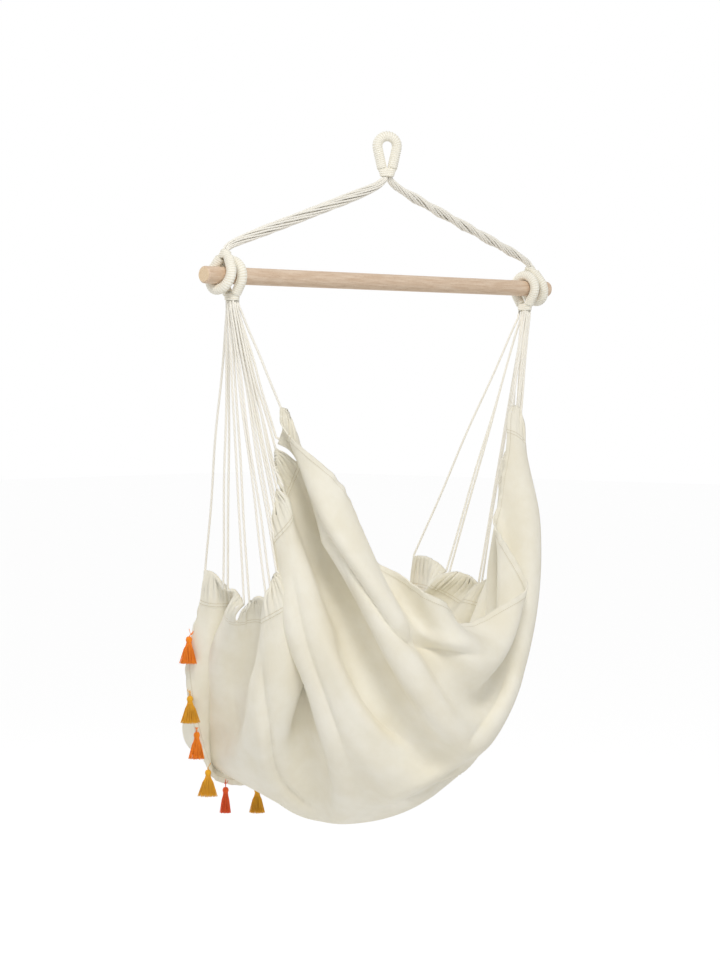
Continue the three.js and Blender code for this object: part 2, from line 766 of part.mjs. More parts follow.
function settleSheet() {
  const { nodes, across, along } = fineSheet;
  const links = sheetLinks();
  const rows = Array.from({ length: along + 1 }, (_, j) => startRow(j / along));
  const start = rows.map((row) => Array.from({ length: across + 1 }, (_, i) => row(i / across)));
  const place = nodes.map(({ i, j }) => start[j][i].clone());
  const before = place.map((p) => p.clone());
  const pins = tabPins();
  const pin = () => pins.forEach((point, id) => place[id].copy(point));
  const edgePull = rows.map((_, j) => edgeGuide * (
    smoothShare(1 - j / along / edgeReach) + smoothShare(1 - (1 - j / along) / edgeReach)));
  for (let round = 0; round < settleRounds; round++) {
    place.forEach((p, id) => {
      const [x, y, z] = [p.x, p.y, p.z];
      const last = before[id];
      p.set(x + (x - last.x) * settleDamping, y + (y - last.y) * settleDamping,
        z + (z - last.z) * settleDamping - fall);
      last.set(x, y, z);
    });
    for (let sweep = 0; sweep < sweepsPerRound; sweep++) {
      pin();
      for (const { a, b, rest, stiff, onlyShort } of links) {
        const [from, to] = [place[a], place[b]];
        const [x, y, z] = [to.x - from.x, to.y - from.y, to.z - from.z];
        const length = Math.sqrt(x * x + y * y + z * z);
        if (length === 0 || (onlyShort && length >= rest)) continue;
        const share = (stiff * (length - rest)) / length / 2;
        from.set(from.x + x * share, from.y + y * share, from.z + z * share);
        to.set(to.x - x * share, to.y - y * share, to.z - z * share);
      }
    }
    pin();
    const pull = round < guidedShare * settleRounds ? guidePull : lateGuidePull;
    const sums = start.map((row) => row.map(() => ({ sum: vec(0, 0, 0), count: 0 })));
    nodes.forEach(({ i, j }, id) => {
      sums[j][i].sum.add(start[j][i]).sub(place[id]);
      sums[j][i].count += 1;
    });
    const means = sums.map((row) => row.map(({ sum, count }) => sum.divideScalar(count)));
    const field = broadField(means, guideWidth);
    nodes.forEach(({ i, j }, id) => {
      const move = field[j][i].clone().multiplyScalar(pull + edgePull[j]);
      place[id].add(move);
      before[id].add(move);
    });
    keepFoldsApart(place, foldGap);
  }
  pin();
  for (let pass = 0; pass < easePasses; pass++) easeSheet(place, pins);
  return place;
}

// The field with everything narrower than the width smoothed away
function broadField(field, width) {
  let now = field;
  for (let pass = 0; pass < 4; pass++) {
    const rows = now;
    const sideways = pass % 2 === 1;
    const last = (sideways ? rows[0].length : rows.length) - 1;
    now = rows.map((row, j) => row.map((_, i) => {
      const sum = vec(0, 0, 0);
      for (let step = -width; step <= width; step++) {
        const at = THREE.MathUtils.clamp((sideways ? i : j) + step, 0, last);
        sum.add(sideways ? row[at] : rows[at][i]);
      }
      return sum.divideScalar(2 * width + 1);
    }));
  }
  return now;
}

// Eases small crumples out: each free point moves towards the middle of its neighbours
function easeSheet(place, pins) {
  const sums = place.map(() => vec(0, 0, 0));
  const counts = place.map(() => 0);
  fineSheet.cells.forEach((cell) => cell.forEach((id, corner) => {
    for (const other of [cell[(corner + 1) % 4], cell[(corner + 3) % 4]]) {
      sums[id].add(place[other]);
      counts[id] += 1;
    }
  }));
  place.forEach((p, id) => {
    if (!pins.has(id)) p.lerp(sums[id].divideScalar(counts[id]), easePull);
  });
}

// Two layers that come nearer than the gap are moved apart, each half way
function keepFoldsApart(place, gap) {
  const boxes = new Map();
  const boxOf = (p, step = [0, 0, 0]) => (
    [p.x, p.y, p.z].map((n, k) => Math.floor(n / gap) + step[k]).join(' '));
  place.forEach((p, id) => {
    const key = boxOf(p);
    if (!boxes.has(key)) boxes.set(key, []);
    boxes.get(key).push(id);
  });
  const moves = new Map();
  const apart = new THREE.Vector3();
  const push = (id, way, sign) => {
    if (!moves.has(id)) moves.set(id, { sum: vec(0, 0, 0), count: 0 });
    const move = moves.get(id);
    move.sum.addScaledVector(way, sign);
    move.count += 1;
  };
  const steps = [-1, 0, 1];
  place.forEach((p, a) => {
    for (const dx of steps) for (const dy of steps) for (const dz of steps) {
      for (const b of boxes.get(boxOf(p, [dx, dy, dz])) ?? []) {
        if (b <= a) continue;
        const [here, there] = [fineSheet.nodes[a], fineSheet.nodes[b]];
        if (Math.abs(here.i - there.i) < 2 && Math.abs(here.j - there.j) < 2) continue;
        apart.subVectors(place[b], p);
        const length = apart.length();
        if (length >= gap || length === 0) continue;
        apart.multiplyScalar((gap - length) / length / 2);
        push(a, apart, -1);
        push(b, apart, 1);
      }
    }
  });
  moves.forEach(({ sum, count }, id) => place[id].addScaledVector(sum, 1 / count));
}

// The solid's nodes, from the settled cloth with its finest folds eased out
function solidNodes(finePlace) {
  const pins = tabPins();
  for (let pass = 0; pass < solidEasePasses; pass++) easeSheet(finePlace, pins);
  const place = [];
  sheet.cells.forEach((cell, number) => {
    const tab = Math.floor(number / cellsAcross / cellsPerTab);
    cell.forEach((id) => {
      const { i, j } = sheet.nodes[id];
      place[id] = finePlace[fineSheet.nodeAt(i * finePerCell, j * finePerCell, tab)].clone();
    });
  });
  return place;
}

function sheetNormals(place) {
  const normals = place.map(() => vec(0, 0, 0));
  sheet.cells.forEach((cell) => {
    const [a, b, c, d] = cell.map((id) => place[id]);
    const normal = new THREE.Vector3().crossVectors(c.clone().sub(a), d.clone().sub(b)).normalize();
    cell.forEach((id) => normals[id].add(normal));
  });
  return normals.map((normal) => normal.normalize());
}

// Both faces of the cloth, joined round its outline and round each slit
function thickenSheet(place) {
  const normals = sheetNormals(place);
  const count = place.length;
  const points = [
    ...place.map((p, id) => p.clone().addScaledVector(normals[id], halfCloth)),
    ...place.map((p, id) => p.clone().addScaledVector(normals[id], -halfCloth)),
  ];
  const index = [];
  const open = new Map();
  sheet.cells.forEach((cell, number) => {
    const [a, b, c, d] = cell;
    const other = (Math.floor(number / cellsAcross) + number) % 2;
    const halves = other ? [[a, b, c], [a, c, d]] : [[a, b, d], [b, c, d]];
    halves.forEach(([p, q, r]) => index.push(p, q, r, count + p, count + r, count + q));
    cell.forEach((from, corner) => {
      const to = cell[(corner + 1) % 4];
      if (open.has(`${to} ${from}`)) open.delete(`${to} ${from}`);
      else open.set(`${from} ${to}`, [from, to]);
    });
  });
  open.forEach(([from, to]) => index.push(to, from, count + from, to, count + from, count + to));
  return geometryFrom(points, index);
}

const clothPlace = solidNodes(settleSheet());
const clothGeometry = thickenSheet(clothPlace);
addPiece('seat_cloth', clothGeometry, canvas);

const clothTriangles = (() => {
  const { position } = clothGeometry.attributes;
  const corner = (id) => new THREE.Vector3().fromBufferAttribute(position, id);
  const ids = clothGeometry.index.array;
  return Array.from({ length: ids.length / 3 }, (_, t) => new THREE.Triangle(
    corner(ids[3 * t]), corner(ids[3 * t + 1]), corner(ids[3 * t + 2])));
})();

// A cord stops one seat gap before its end face would meet the cloth
function stopAtCloth(start, end) {
  const along = end.clone().sub(start);
  const length = along.length();
  along.normalize();
  const across = new THREE.Vector3().crossVectors(along, vec(0, 1, 0)).normalize();
  const up = new THREE.Vector3().crossVectors(along, across);
  const radius = cordDiameter / 2 + seatGap;
  const starts = [start, ...ringOfPoints(start, across, up, radius, radius, stopRays)];
  let reach = length - halfCloth;
  for (const from of starts) {
    const ray = new THREE.Ray(from, along);
    for (const triangle of clothTriangles) {
      const hit = ray.intersectTriangle(triangle.a, triangle.b, triangle.c, false, new THREE.Vector3());
      if (hit && hit.distanceTo(from) > length / 2) reach = Math.min(reach, hit.distanceTo(from));
    }
  }
  return start.clone().addScaledVector(along, reach - seatGap);
}

function addCords(hand, label, lowerPath) {
  const neckCentre = lowerPath.place(0, ringNeckEnd).add(vec(0, 0, -seatGap));
  const bendCentre = neckCentre.clone().add(vec(0, 0, -cordLead));
  const ends = tabEnds.map((tabEnd) => tabEndPoint(hand, tabEnd));
  const bends = cordStarts(hand, bendCentre, ends);
  bends.forEach((bend, run) => {
    const top = bend.clone().add(vec(0, 0, cordLead));
    const stop = stopAtCloth(bend, ends[run]);
    const turned = bend.clone().lerp(stop, cordBendShare);
    const path = new THREE.CatmullRomCurve3([top, bend, turned, stop], false, 'centripetal');
    const number = String(run + 1).padStart(2, '0');
    addPiece(`cord_${label}_${number}`, tube(path, cordDiameter / 2, cordSides, cordSteps), cottonRope);
  });
}

for (const [hand, label] of [[1, 'left'], [-1, 'right']]) {
  const { upper, lower } = addRingEyes(hand, label);
  addPiece(`hanging_rope_${label}`, makeHangingRope(hand, upper), cottonRope);
  addCords(hand, label, lower);
}

// Tassels: a tie from the hem, a round head, a bound neck and a fluted skirt

// Height below the head's top, and radius, from the head down to the skirt's end
function tasselProfile(flare) {
  const head = headDiameter / 2;
  const skirtTop = skirtTopDiameter / 2;
  const skirtEnd = (skirtWidest * flare) / 2;
  return [
    [0, tieDiameter / 2],
    ...headShares.map(([down, wide]) => [down * headHeight, wide * head]),
    ...skirtShares.map(([down, out]) => (
      [headHeight + down * skirtLength, mix(skirtTop, skirtEnd, out)])),
  ];
}

// A point on the front hem this far along the cloth, and the way out of the cloth there
function frontHem(distance) {
  const place = (distance / clothWidth) * cellsAcross;
  const i = Math.min(Math.floor(place), cellsAcross - 1);
  const at = (column, j) => clothPlace[sheet.nodeAt(column, j, tabCount - 1)];
  const edge = at(i, cellsAlong).clone().lerp(at(i + 1, cellsAlong), place - i);
  const inner = at(i, cellsAlong - 1).clone().lerp(at(i + 1, cellsAlong - 1), place - i);
  return { edge, out: edge.clone().sub(inner).normalize() };
}

// How much farther the cloth is than the samples need, up to nothing once it is below the least
function roomBeside(samples, triangles, least) {
  const nearest = new THREE.Vector3();
  let room = Infinity;
  for (const { at, radius } of samples) {
    for (const triangle of triangles) {
      triangle.closestPointToPoint(at, nearest);
      room = Math.min(room, nearest.distanceTo(at) - radius);
      if (room < least) return room;
    }
  }
  return room;
}

// Finds where a tassel hangs and swings clear of the cloth: first straight below its own place on
// the hem, then with its head a little sideways, then also from a place farther along the hem, and
// last with its skirt pressed narrower. Where none is clear, it takes the roomiest.
function hangTassel(distance, widest) {
  const shifts = Array.from({ length: 2 * hemShifts + 1 }, (_, k) => (
    (k % 2 ? 1 : -1) * Math.ceil(k / 2) * hemShift));
  let roomiest = { room: -Infinity };
  for (const pressed of pressedShares) {
    for (const slideShare of slideShares) {
      for (const shift of shifts) {
        for (let way = 0; way < swingWays; way++) {
          const angle = (2 * Math.PI * way) / swingWays;
          const sideways = vec(Math.cos(angle), Math.sin(angle), 0);
          const hung = tryTassel(
            distance + shift, widest * pressed, sideways, slideShare * tieLength, roomiest.room);
          if (hung.room > roomiest.room) roomiest = hung;
          if (hung.room >= 0) return hung;
          if (slideShare === 0 && hung.room < -tasselGap) break;
        }
      }
    }
  }
  return roomiest;
}

function tryTassel(distance, flare, sideways, slide, least) {
  const { edge, out } = frontHem(distance);
  const beside = tieDiameter / 2 - tieTipLength * Math.max(0, -out.z); // along a hem on its side
  const anchor = edge.clone().addScaledVector(out, tieGap + Math.max(tieTipRadius, beside));
  const reach = tieLength + headHeight + skirtLength + skirtWidest + clothWidth / cellsAcross;
  const nearby = clothTriangles.filter((triangle) => (
    triangle.getMidpoint(new THREE.Vector3()).distanceTo(anchor) < reach));
  const drop = Math.sqrt(tieLength ** 2 - slide ** 2);
  const headTop = anchor.clone().addScaledVector(sideways, slide).add(vec(0, 0, -drop));
  const samples = [];
  for (let step = 0; step <= tieSamples; step++) {
    const share = step / tieSamples;
    const radius = mix(tieTipRadius, tieDiameter / 2, Math.min(1, (share * tieLength) / tieTipLength));
    samples.push({ at: anchor.clone().lerp(headTop, share), radius: radius + tieClearShare * tieGap });
  }
  tasselProfile(flare).forEach(([down, radius], row, profile) => {
    const [lastDown, lastRadius] = profile[Math.max(0, row - 1)];
    for (const share of halfAndWhole) {
      const at = headTop.clone().add(vec(0, 0, -mix(lastDown, down, share)));
      samples.push({ at, radius: mix(lastRadius, radius, share) + tasselGap });
    }
  });
  const axis = new THREE.Vector3().crossVectors(vec(0, 0, -1), sideways).normalize();
  let room = Infinity;
  for (let step = 0; step <= swingSteps && room >= least; step++) {
    const swung = samples.map(({ at, radius }) => ({
      at: at.clone().sub(anchor).applyAxisAngle(axis, (tasselSwing * step) / swingSteps).add(anchor),
      radius,
    }));
    room = Math.min(room, roomBeside(swung, nearby, Math.max(least, -tasselGap)));
  }
  return { anchor, headTop, axis, flare, room };
}

function makeTassel({ anchor, headTop, flare }) {
  const [east, north] = [vec(1, 0, 0), vec(0, 1, 0)];
  const rings = [
    ...[[0, tieTipRadius], [tieTipLength / tieLength, tieDiameter / 2]].map(([share, radius]) => (
      ringOfPoints(anchor.clone().lerp(headTop, share), east, north, radius, radius, tasselSides))),
    ...tasselProfile(flare).map(([down, radius], row) => {
      const centre = headTop.clone().add(vec(0, 0, -down));
      const fluted = row > 1 + headShares.length;
      const flute = (_, side) => (fluted ? 1 - tasselFluteShare * (side % 2) : 1);
      return ringOfPoints(centre, east, north, radius, radius, tasselSides, flute);
    }),
  ];
  return loft(rings.map((ring) => ring.reverse()));
}

const tasselStep = (clothWidth - 2 * tasselFirst) / (tasselCount - 1);
for (let number = 0; number < tasselCount; number++) {
  const fromCorner = Math.min(number, tasselCount - 1 - number);
  const yarn = tasselYarns[fromCorner];
  const hung = hangTassel(tasselFirst + number * tasselStep, skirtFlareShares[fromCorner]);
  addPiece(`tassel_${String(number + 1).padStart(2, '0')}`, makeTassel(hung), yarn);
  console.log('tassel', number + 1, 'hinge', hung.anchor.toArray().map((n) => n.toFixed(2)).join(' '),
    'axis', hung.axis.toArray().map((n) => n.toFixed(4)).join(' '),
    'room', hung.room.toFixed(2), 'flare', hung.flare.toFixed(2));
}

export default chair;
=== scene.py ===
# Hammock chair: cotton cloth, cords and tassels on a beech bar.
import json
import math

import bpy
import numpy as np
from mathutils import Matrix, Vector

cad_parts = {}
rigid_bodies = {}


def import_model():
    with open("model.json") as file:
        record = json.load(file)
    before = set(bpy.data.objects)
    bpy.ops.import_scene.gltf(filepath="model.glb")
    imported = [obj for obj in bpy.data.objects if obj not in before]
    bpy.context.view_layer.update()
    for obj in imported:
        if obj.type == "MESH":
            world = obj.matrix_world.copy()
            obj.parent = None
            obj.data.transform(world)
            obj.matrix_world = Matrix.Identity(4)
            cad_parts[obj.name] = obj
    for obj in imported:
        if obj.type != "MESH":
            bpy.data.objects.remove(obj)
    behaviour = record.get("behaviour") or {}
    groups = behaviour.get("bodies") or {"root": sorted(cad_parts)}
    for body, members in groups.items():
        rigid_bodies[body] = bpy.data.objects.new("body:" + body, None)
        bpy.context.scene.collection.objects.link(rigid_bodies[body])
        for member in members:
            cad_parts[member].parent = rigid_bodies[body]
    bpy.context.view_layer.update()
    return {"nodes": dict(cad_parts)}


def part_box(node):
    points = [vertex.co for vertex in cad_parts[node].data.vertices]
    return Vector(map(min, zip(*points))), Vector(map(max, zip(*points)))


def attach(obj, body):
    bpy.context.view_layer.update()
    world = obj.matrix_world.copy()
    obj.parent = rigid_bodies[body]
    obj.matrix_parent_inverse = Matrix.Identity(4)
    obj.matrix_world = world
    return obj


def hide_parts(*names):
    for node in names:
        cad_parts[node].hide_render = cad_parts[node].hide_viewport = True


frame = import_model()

# Camera at the photograph's angle

PICTURE_WIDTH, PICTURE_HEIGHT = 720, 960
CAMERA_PLACE = (3.9265, 3.551, -0.484)
CAMERA_DOWN, CAMERA_TURN = 1.95, 132.7  # degrees

camera = bpy.data.objects.new("camera", bpy.data.cameras.new("camera"))
camera.data.lens = 100.9
camera.data.sensor_width = 36
camera.data.clip_end = 60
camera.location = CAMERA_PLACE
camera.rotation_euler = (math.radians(90 - CAMERA_DOWN), 0, math.radians(CAMERA_TURN))
bpy.context.scene.collection.objects.link(camera)
bpy.context.scene.camera = camera

# Sizes in metres, most of them repeated from the part

BAR_DROP = 0.276
BAR_RADIUS, BAR_HALF_LENGTH = 0.016, 0.5
BAR_PLAY = 0.00075
SEAT_GAP = 0.0003
SERVED_RADIUS = 0.00976
RING_RADIUS = BAR_RADIUS + BAR_PLAY + SERVED_RADIUS
LEG_SPREAD = 0.014
UPPER_EYE_X = 0.456
LOWER_EYE_X = 0.427
RING_LEG, RING_NECK_TOP, RING_NECK_END = 0.038, 0.031, 0.045
HOOK_EYE_RADIUS, HOOK_LEG, HOOK_NECK_TOP, HOOK_NECK_END = 0.019, 0.057, 0.042, 0.060
HOOK_EYE_TURN, UPPER_EYE_LEAN = -40, 17  # degrees
NECK_THICKNESS = 0.017
HOOK_NECK_WIDTH, UPPER_NECK_WIDTH, LOWER_NECK_WIDTH, LOWER_NECK_SHARE = 0.028, 0.020, 0.031, 0.76
CORD_DIAMETER = 0.0044
CORD_LEAD, ROPE_LEAD = 0.006, 0.004
ROPE_EXIT = 0.0072

CLOTH_WIDTH, CLOTH_LENGTH = 1.300, 1.200
CLOTH_THICKNESS, HEM_THICKNESS, THICKEST = 0.0018, 0.003, 0.0064
EDGE_THICKNESS = {0: 0.0062, 1: 0.0052}  # by cells from the side edge, where a tab closes on its cord
HEM_CELLS_SIDE, HEM_CELLS_END = 4, 2
TABS = 8
HALF_SPAN, CASING_DROP, CASING_RISE = 0.338, 0.616, 0.370
CASING_REACH, CASING_BACK = 0.240, 0.040
SLIT_WIDTH, CORD_SPACING = 0.011, 0.0048
SLITS = [  # shares of the half span, the reach and the rise, from the back
    (1, 0, 1), (1, 0.05, 0.81), (1, 0.04, 0.61), (1, 0.03, 0.42), (1, 0.04, 0.19),
    (1.01, 0.12, 0.03), (1.01, 0.37, 0), (0.96, 0.68, 0.06), (0.9, 1, 0.15),
]
SEAT_SAG, SEAT_DEPTH, SEAT_BACK = 0.500, 0.750, 0.262
MIDDLE = [  # share along the cloth, shares of depth and sag of its middle line
    (0, 0.05, 0.06), (0.14, 0, 0.42), (0.3, 0.06, 0.82), (0.425, 0.21, 1), (0.555, 0.42, 1.02),
    (0.705, 0.69, 0.9), (0.845, 0.95, 0.68), (0.88, 0.99, 0.6), (1, 0.85, 0.8),
]
ROW_BENDS = [  # share along the cloth, powers of a row's curve, share of the cuff's flare
    (0, 2, 2, 0), (0.45, 1.7, 2.5, 0), (0.86, 2.6, 3.5, 0), (1, 2.6, 3, 1),
]
CUFF_FLARE, CUFF_TURN, CUFF_FOLD = 0.040, 1.6, 0.885

rng = np.random.default_rng(7)


def unit(v):
    return v / np.linalg.norm(v)


def smooth(t):
    t = np.clip(t, 0, 1)
    return t * t * (3 - 2 * t)


def steps_of(points):
    return np.linalg.norm(np.diff(points, axis=0), axis=1)


def passed_at(points):
    """How far along the route each point lies."""
    return np.concatenate([[0], np.cumsum(steps_of(points))])


def evenly_spaced(points, count):
    along = passed_at(points)
    even = np.linspace(0, along[-1], count)
    return np.stack([np.interp(even, along, column) for column in points.T], 1)


# Materials


class Wire:
    """A socket of a material's nodes. Operators on wires and numbers add Math nodes."""

    def __init__(self, tree, socket=None):
        self.tree, self.socket = tree, socket

    def node(self, kind, settings=None, inputs=None, output=0):
        made = self.tree.nodes.new(f"ShaderNode{kind}")
        for name, value in (settings or {}).items():
            setattr(made, name, value)
        for name, value in (inputs or {}).items():
            if isinstance(value, Wire):
                self.tree.links.new(value.socket, made.inputs[name])
            else:
                made.inputs[name].default_value = value
        return Wire(self.tree, made.outputs[output])

    def calc(self, operation, *values):
        return self.node("Math", {"operation": operation}, dict(enumerate(values)))

    def __add__(self, other):
        return self.calc("ADD", self, other)

    def __radd__(self, other):
        return self.calc("ADD", other, self)

    def __sub__(self, other):
        return self.calc("SUBTRACT", self, other)

    def __rsub__(self, other):
        return self.calc("SUBTRACT", other, self)

    def __mul__(self, other):
        return self.calc("MULTIPLY", self, other)

    def __rmul__(self, other):
        return self.calc("MULTIPLY", other, self)

    def __truediv__(self, other):
        return self.calc("DIVIDE", self, other)

    def wave(self):
        return self.calc("SINE", self)

    def size(self):
        return self.calc("ABSOLUTE", self)

    def least(self, other):
        return self.calc("MINIMUM", self, other)

    def most(self, other):
        return self.calc("MAXIMUM", self, other)

    def step_up(self, low, high):
        """0 below low and 1 above high, with a soft rise between."""
        return self.node("MapRange", {"interpolation_type": "SMOOTHSTEP"}, {
            "Value": self, "From Min": low, "From Max": high})

    def part(self, axis):
        return self.node("SeparateXYZ", inputs={"Vector": self}, output="XYZ".index(axis))

    def stretched(self, x, y, z):
        return self.node("VectorMath", {"operation": "MULTIPLY"}, {0: self, 1: (x, y, z)})

    def noise(self, scale, detail=3, roughness=0.5):
        return self.node("TexNoise", inputs={
            "Vector": self, "Scale": scale, "Detail": detail, "Roughness": roughness})

    def tint(self, other, share):
        """From this colour towards another, by a share."""
        return blend_colours(self, self, other, share)


def blend_colours(wire, first, second, share):
    return wire.node("Mix", {"data_type": "RGBA"}, {0: share, 6: first, 7: second}, output=2)


def finish(name, roughness, **constants):
    """A material, its shader and a wire to start from."""
    material = bpy.data.materials.new(name)
    material.use_nodes = True
    shader = material.node_tree.nodes["Principled BSDF"]
    shader.inputs["Roughness"].default_value = roughness
    for socket, value in constants.items():
        shader.inputs[socket.replace("_", " ")].default_value = value
    return material, shader, Wire(material.node_tree)


def paint(shader, wire, **sockets):
    for name, value in sockets.items():
        wire.tree.links.new(value.socket, shader.inputs[name.replace("_", " ")])


def relief(wire, height, depth, strength):
    return wire.node("Bump", inputs={"Height": height, "Distance": depth, "Strength": strength})


def linear(red, green, blue):
    """A colour as it is seen, 0 to 255, as the shader's own numbers."""
    shares = (red / 255, green / 255, blue / 255)
    return *(c / 12.92 if c <= 0.04045 else ((c + 0.055) / 1.055) ** 2.4 for c in shares), 1


def beech_finish():
    material, shader, wire = finish("beech", 0.5, Specular_IOR_Level=0.35)
    place = wire.node("TexCoord", output="Object")
    grain = place.stretched(2.2, 26, 26).noise(9, 5, 0.6)
    fine = place.stretched(9, 240, 240).noise(5, 3, 0.6)
    flecks = place.stretched(70, 620, 620).noise(3.2, 1, 0.4).step_up(0.63, 0.7)
    rings = (place.stretched(0, 60, 38).noise(6, 2, 0.5) * 30).wave()
    colour = blend_colours(wire, linear(211, 184, 157), linear(231, 210, 187), grain.step_up(0.3, 0.72))
    colour = colour.tint(linear(199, 166, 136), fine.step_up(0.52, 0.75) * 0.45)
    colour = colour.tint(linear(172, 134, 102), flecks * 0.5)
    ends = place.part("X").size().step_up(BAR_HALF_LENGTH - 0.0007, BAR_HALF_LENGTH - 0.0003)
    end_colour = blend_colours(wire, linear(224, 196, 160), linear(238, 216, 184), rings.step_up(-1, 1))
    colour = colour.tint(end_colour, ends)
    paint(shader, wire, Base_Color=colour, Roughness=0.44 + 0.18 * fine,
          Normal=relief(wire, grain * 0.4 + fine * 0.6 + flecks * 0.5, 0.00025, 0.7))
    return material


def yarn_finish(name, colour, painted_groove_shade, pitch=0.0035, plies=3):
    """Spun cord: plies wound round it, with fine fibres. u is a share of its girth, v is metres along it."""
    material, shader, wire = finish(name, 0.85, Sheen_Weight=0.15, Sheen_Roughness=0.5,
                                    Specular_IOR_Level=0.2)
    uv = wire.node("UVMap", {"uv_map": "route"})
    around, along = uv.part("X"), uv.part("Y")
    ply = ((around * plies + along / (plies * pitch)) * math.pi).wave().size()
    fibres = ((around * 22 - along / pitch * 2.3) * math.pi).wave()
    mottle = wire.node("TexCoord", output="Object").noise(60)
    # Painted shade: the second colour darkens the grooves between the plies, mixed with random mottle
    tone = blend_colours(wire, painted_groove_shade, colour, (ply * 0.75 + 0.35 * mottle).step_up(0.05, 0.75))
    paint(shader, wire, Base_Color=tone, Normal=relief(wire, ply + 0.12 * fibres, 0.0005, 0.45))
    return material


CASING_SEAMS, HEM_SEAM, SEAM_WIDTH, STITCH = (0.056, 0.062), 0.016, 0.0011, 0.0042
THREADS_PER_METRE = 1100


def canvas_finish():
    """Plain woven cotton. u and v are metres across and along the flat cloth."""
    material, shader, wire = finish("cotton_canvas", 0.92, Sheen_Weight=0.12, Sheen_Roughness=0.45,
                                    Specular_IOR_Level=0.15)
    uv = wire.node("UVMap", {"uv_map": "flat"})
    across, along = uv.part("X"), uv.part("Y")
    to_side = across.least(CLOTH_WIDTH - across)
    to_end = along.least(CLOTH_LENGTH - along)
    weave = (across * math.pi * THREADS_PER_METRE).wave() * (along * math.pi * THREADS_PER_METRE).wave()
    slubs = uv.stretched(60, 1400, 1).noise(1, 2, 0.6) + uv.stretched(1300, 50, 1).noise(1, 2, 0.6)
    mottle = uv.noise(9, 4, 0.6)

    def seam(distance, at):
        return 1 - ((distance - at) / SEAM_WIDTH).size().least(1)

    def stitches_along(way):
        return (way * (2 * math.pi / STITCH)).wave().step_up(-0.5, 0.1)

    side_seams = seam(to_side, CASING_SEAMS[0]).most(seam(to_side, CASING_SEAMS[1]))
    end_seams = seam(to_end, HEM_SEAM)
    grooves = side_seams.most(end_seams)
    stitches = (side_seams * stitches_along(along)).most(end_seams * stitches_along(across))
    hem = 1 - to_end.step_up(HEM_SEAM + 0.0005, HEM_SEAM + 0.0025)
    casing = 1 - to_side.step_up(CASING_SEAMS[1] + 0.0015, CASING_SEAMS[1] + 0.004)
    puckered = 1 - to_side.step_up(0.02, 0.11)
    pucker = uv.stretched(26, 95, 1).noise(1, 3, 0.55)
    crush = uv.stretched(14, 20, 1).noise(1, 4, 0.6)
    puckered_hem = 1 - to_end.step_up(0.008, 0.035)
    ruffle = uv.stretched(70, 20, 1).noise(1, 2, 0.5)
    tone = blend_colours(wire, linear(243, 237, 218), linear(250, 246, 232), mottle.step_up(0.3, 0.7))
    tone = tone.tint(linear(222, 211, 180), slubs.step_up(1.12, 1.45) * 0.35)
    # The stitches are painted darker, and painted shade darkens the seam grooves
    tone = tone.tint(linear(206, 190, 150), stitches * 0.55 + grooves * 0.2)
    height = (weave * 0.07 + slubs * 0.05 - grooves * 0.5 + stitches * 0.45 + casing.most(hem) * 0.35
              + puckered * pucker * 1.6 + crush * 0.9 + puckered_hem * ruffle * 0.8)
    paint(shader, wire, Base_Color=tone, Normal=relief(wire, height, 0.0026, 0.75))
    return material


# Each yarn's second colour is painted shade for the grooves between its plies
COTTON = linear(251, 248, 240), linear(240, 234, 217)
materials = {
    "beech": beech_finish(),
    "cotton_rope": yarn_finish("cotton_rope", *COTTON),
    "serving_thread": yarn_finish("serving_thread", linear(249, 246, 235), linear(228, 219, 194), 0.002, 2),
    "cotton_canvas": canvas_finish(),
    "tassel_orange": yarn_finish("tassel_orange", linear(255, 152, 44), linear(252, 116, 16), 0.0012, 2),
    "tassel_mustard": yarn_finish("tassel_mustard", linear(242, 182, 52), linear(222, 148, 24), 0.0012, 2),
    "tassel_red": yarn_finish("tassel_red", linear(252, 108, 56), linear(236, 76, 30), 0.0012, 2),
}

# Mesh helpers


def add_piece(name, shape, body, slot, node, layer="route"):
    """A piece of points, faces and uv that rides on a body and stands for a node."""
    points, faces, uv = shape
    mesh = bpy.data.meshes.new(name)
    mesh.from_pydata([tuple(map(float, p)) for p in points], [], [tuple(map(int, f)) for f in faces])
    mesh.uv_layers.new(name=layer).data.foreach_set("uv", np.asarray(uv, dtype=np.float32).reshape(-1))
    mesh.shade_smooth()
    piece = bpy.data.objects.new(name, mesh)
    bpy.context.scene.collection.objects.link(piece)
    mesh.materials.append(materials[slot])
    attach(piece, body)
    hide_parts(node)
    return piece


def sides_along(points):
    """Two side directions at each point of a route, turned as little as possible."""
    tangents = np.gradient(points, axis=0)
    tangents /= np.linalg.norm(tangents, axis=1, keepdims=True)
    start = np.cross(tangents[0], (0, 1, 0) if abs(tangents[0][1]) < 0.9 else (1, 0, 0))
    sides = [unit(start)]
    for tangent in tangents[1:]:
        sides.append(unit(sides[-1] - tangent * (sides[-1] @ tangent)))
    return np.array(sides), np.cross(tangents, sides)


def skin(rings, closed=True):
    """Points, faces and uv of a tube through rings; u goes round it and v along it."""
    rings = np.asarray(rings)
    rows, sides = rings.shape[:2]
    along = passed_at(rings.mean(1))
    points = rings.reshape(-1, 3)
    faces, uv = [], []
    for row in range(rows - 1):
        for side in range(sides):
            here, after = row * sides + side, row * sides + (side + 1) % sides
            faces.append((here, after, after + sides, here + sides))
            u0, u1 = side / sides, (side + 1) / sides
            uv += [(u0, along[row]), (u1, along[row]), (u1, along[row + 1]), (u0, along[row + 1])]
    if closed:
        faces.append(tuple(reversed(range(sides))))
        uv += [(side / sides, along[0]) for side in reversed(range(sides))]
        faces.append(tuple(range((rows - 1) * sides, rows * sides)))
        uv += [(side / sides, along[-1]) for side in range(sides)]
    return points, faces, uv


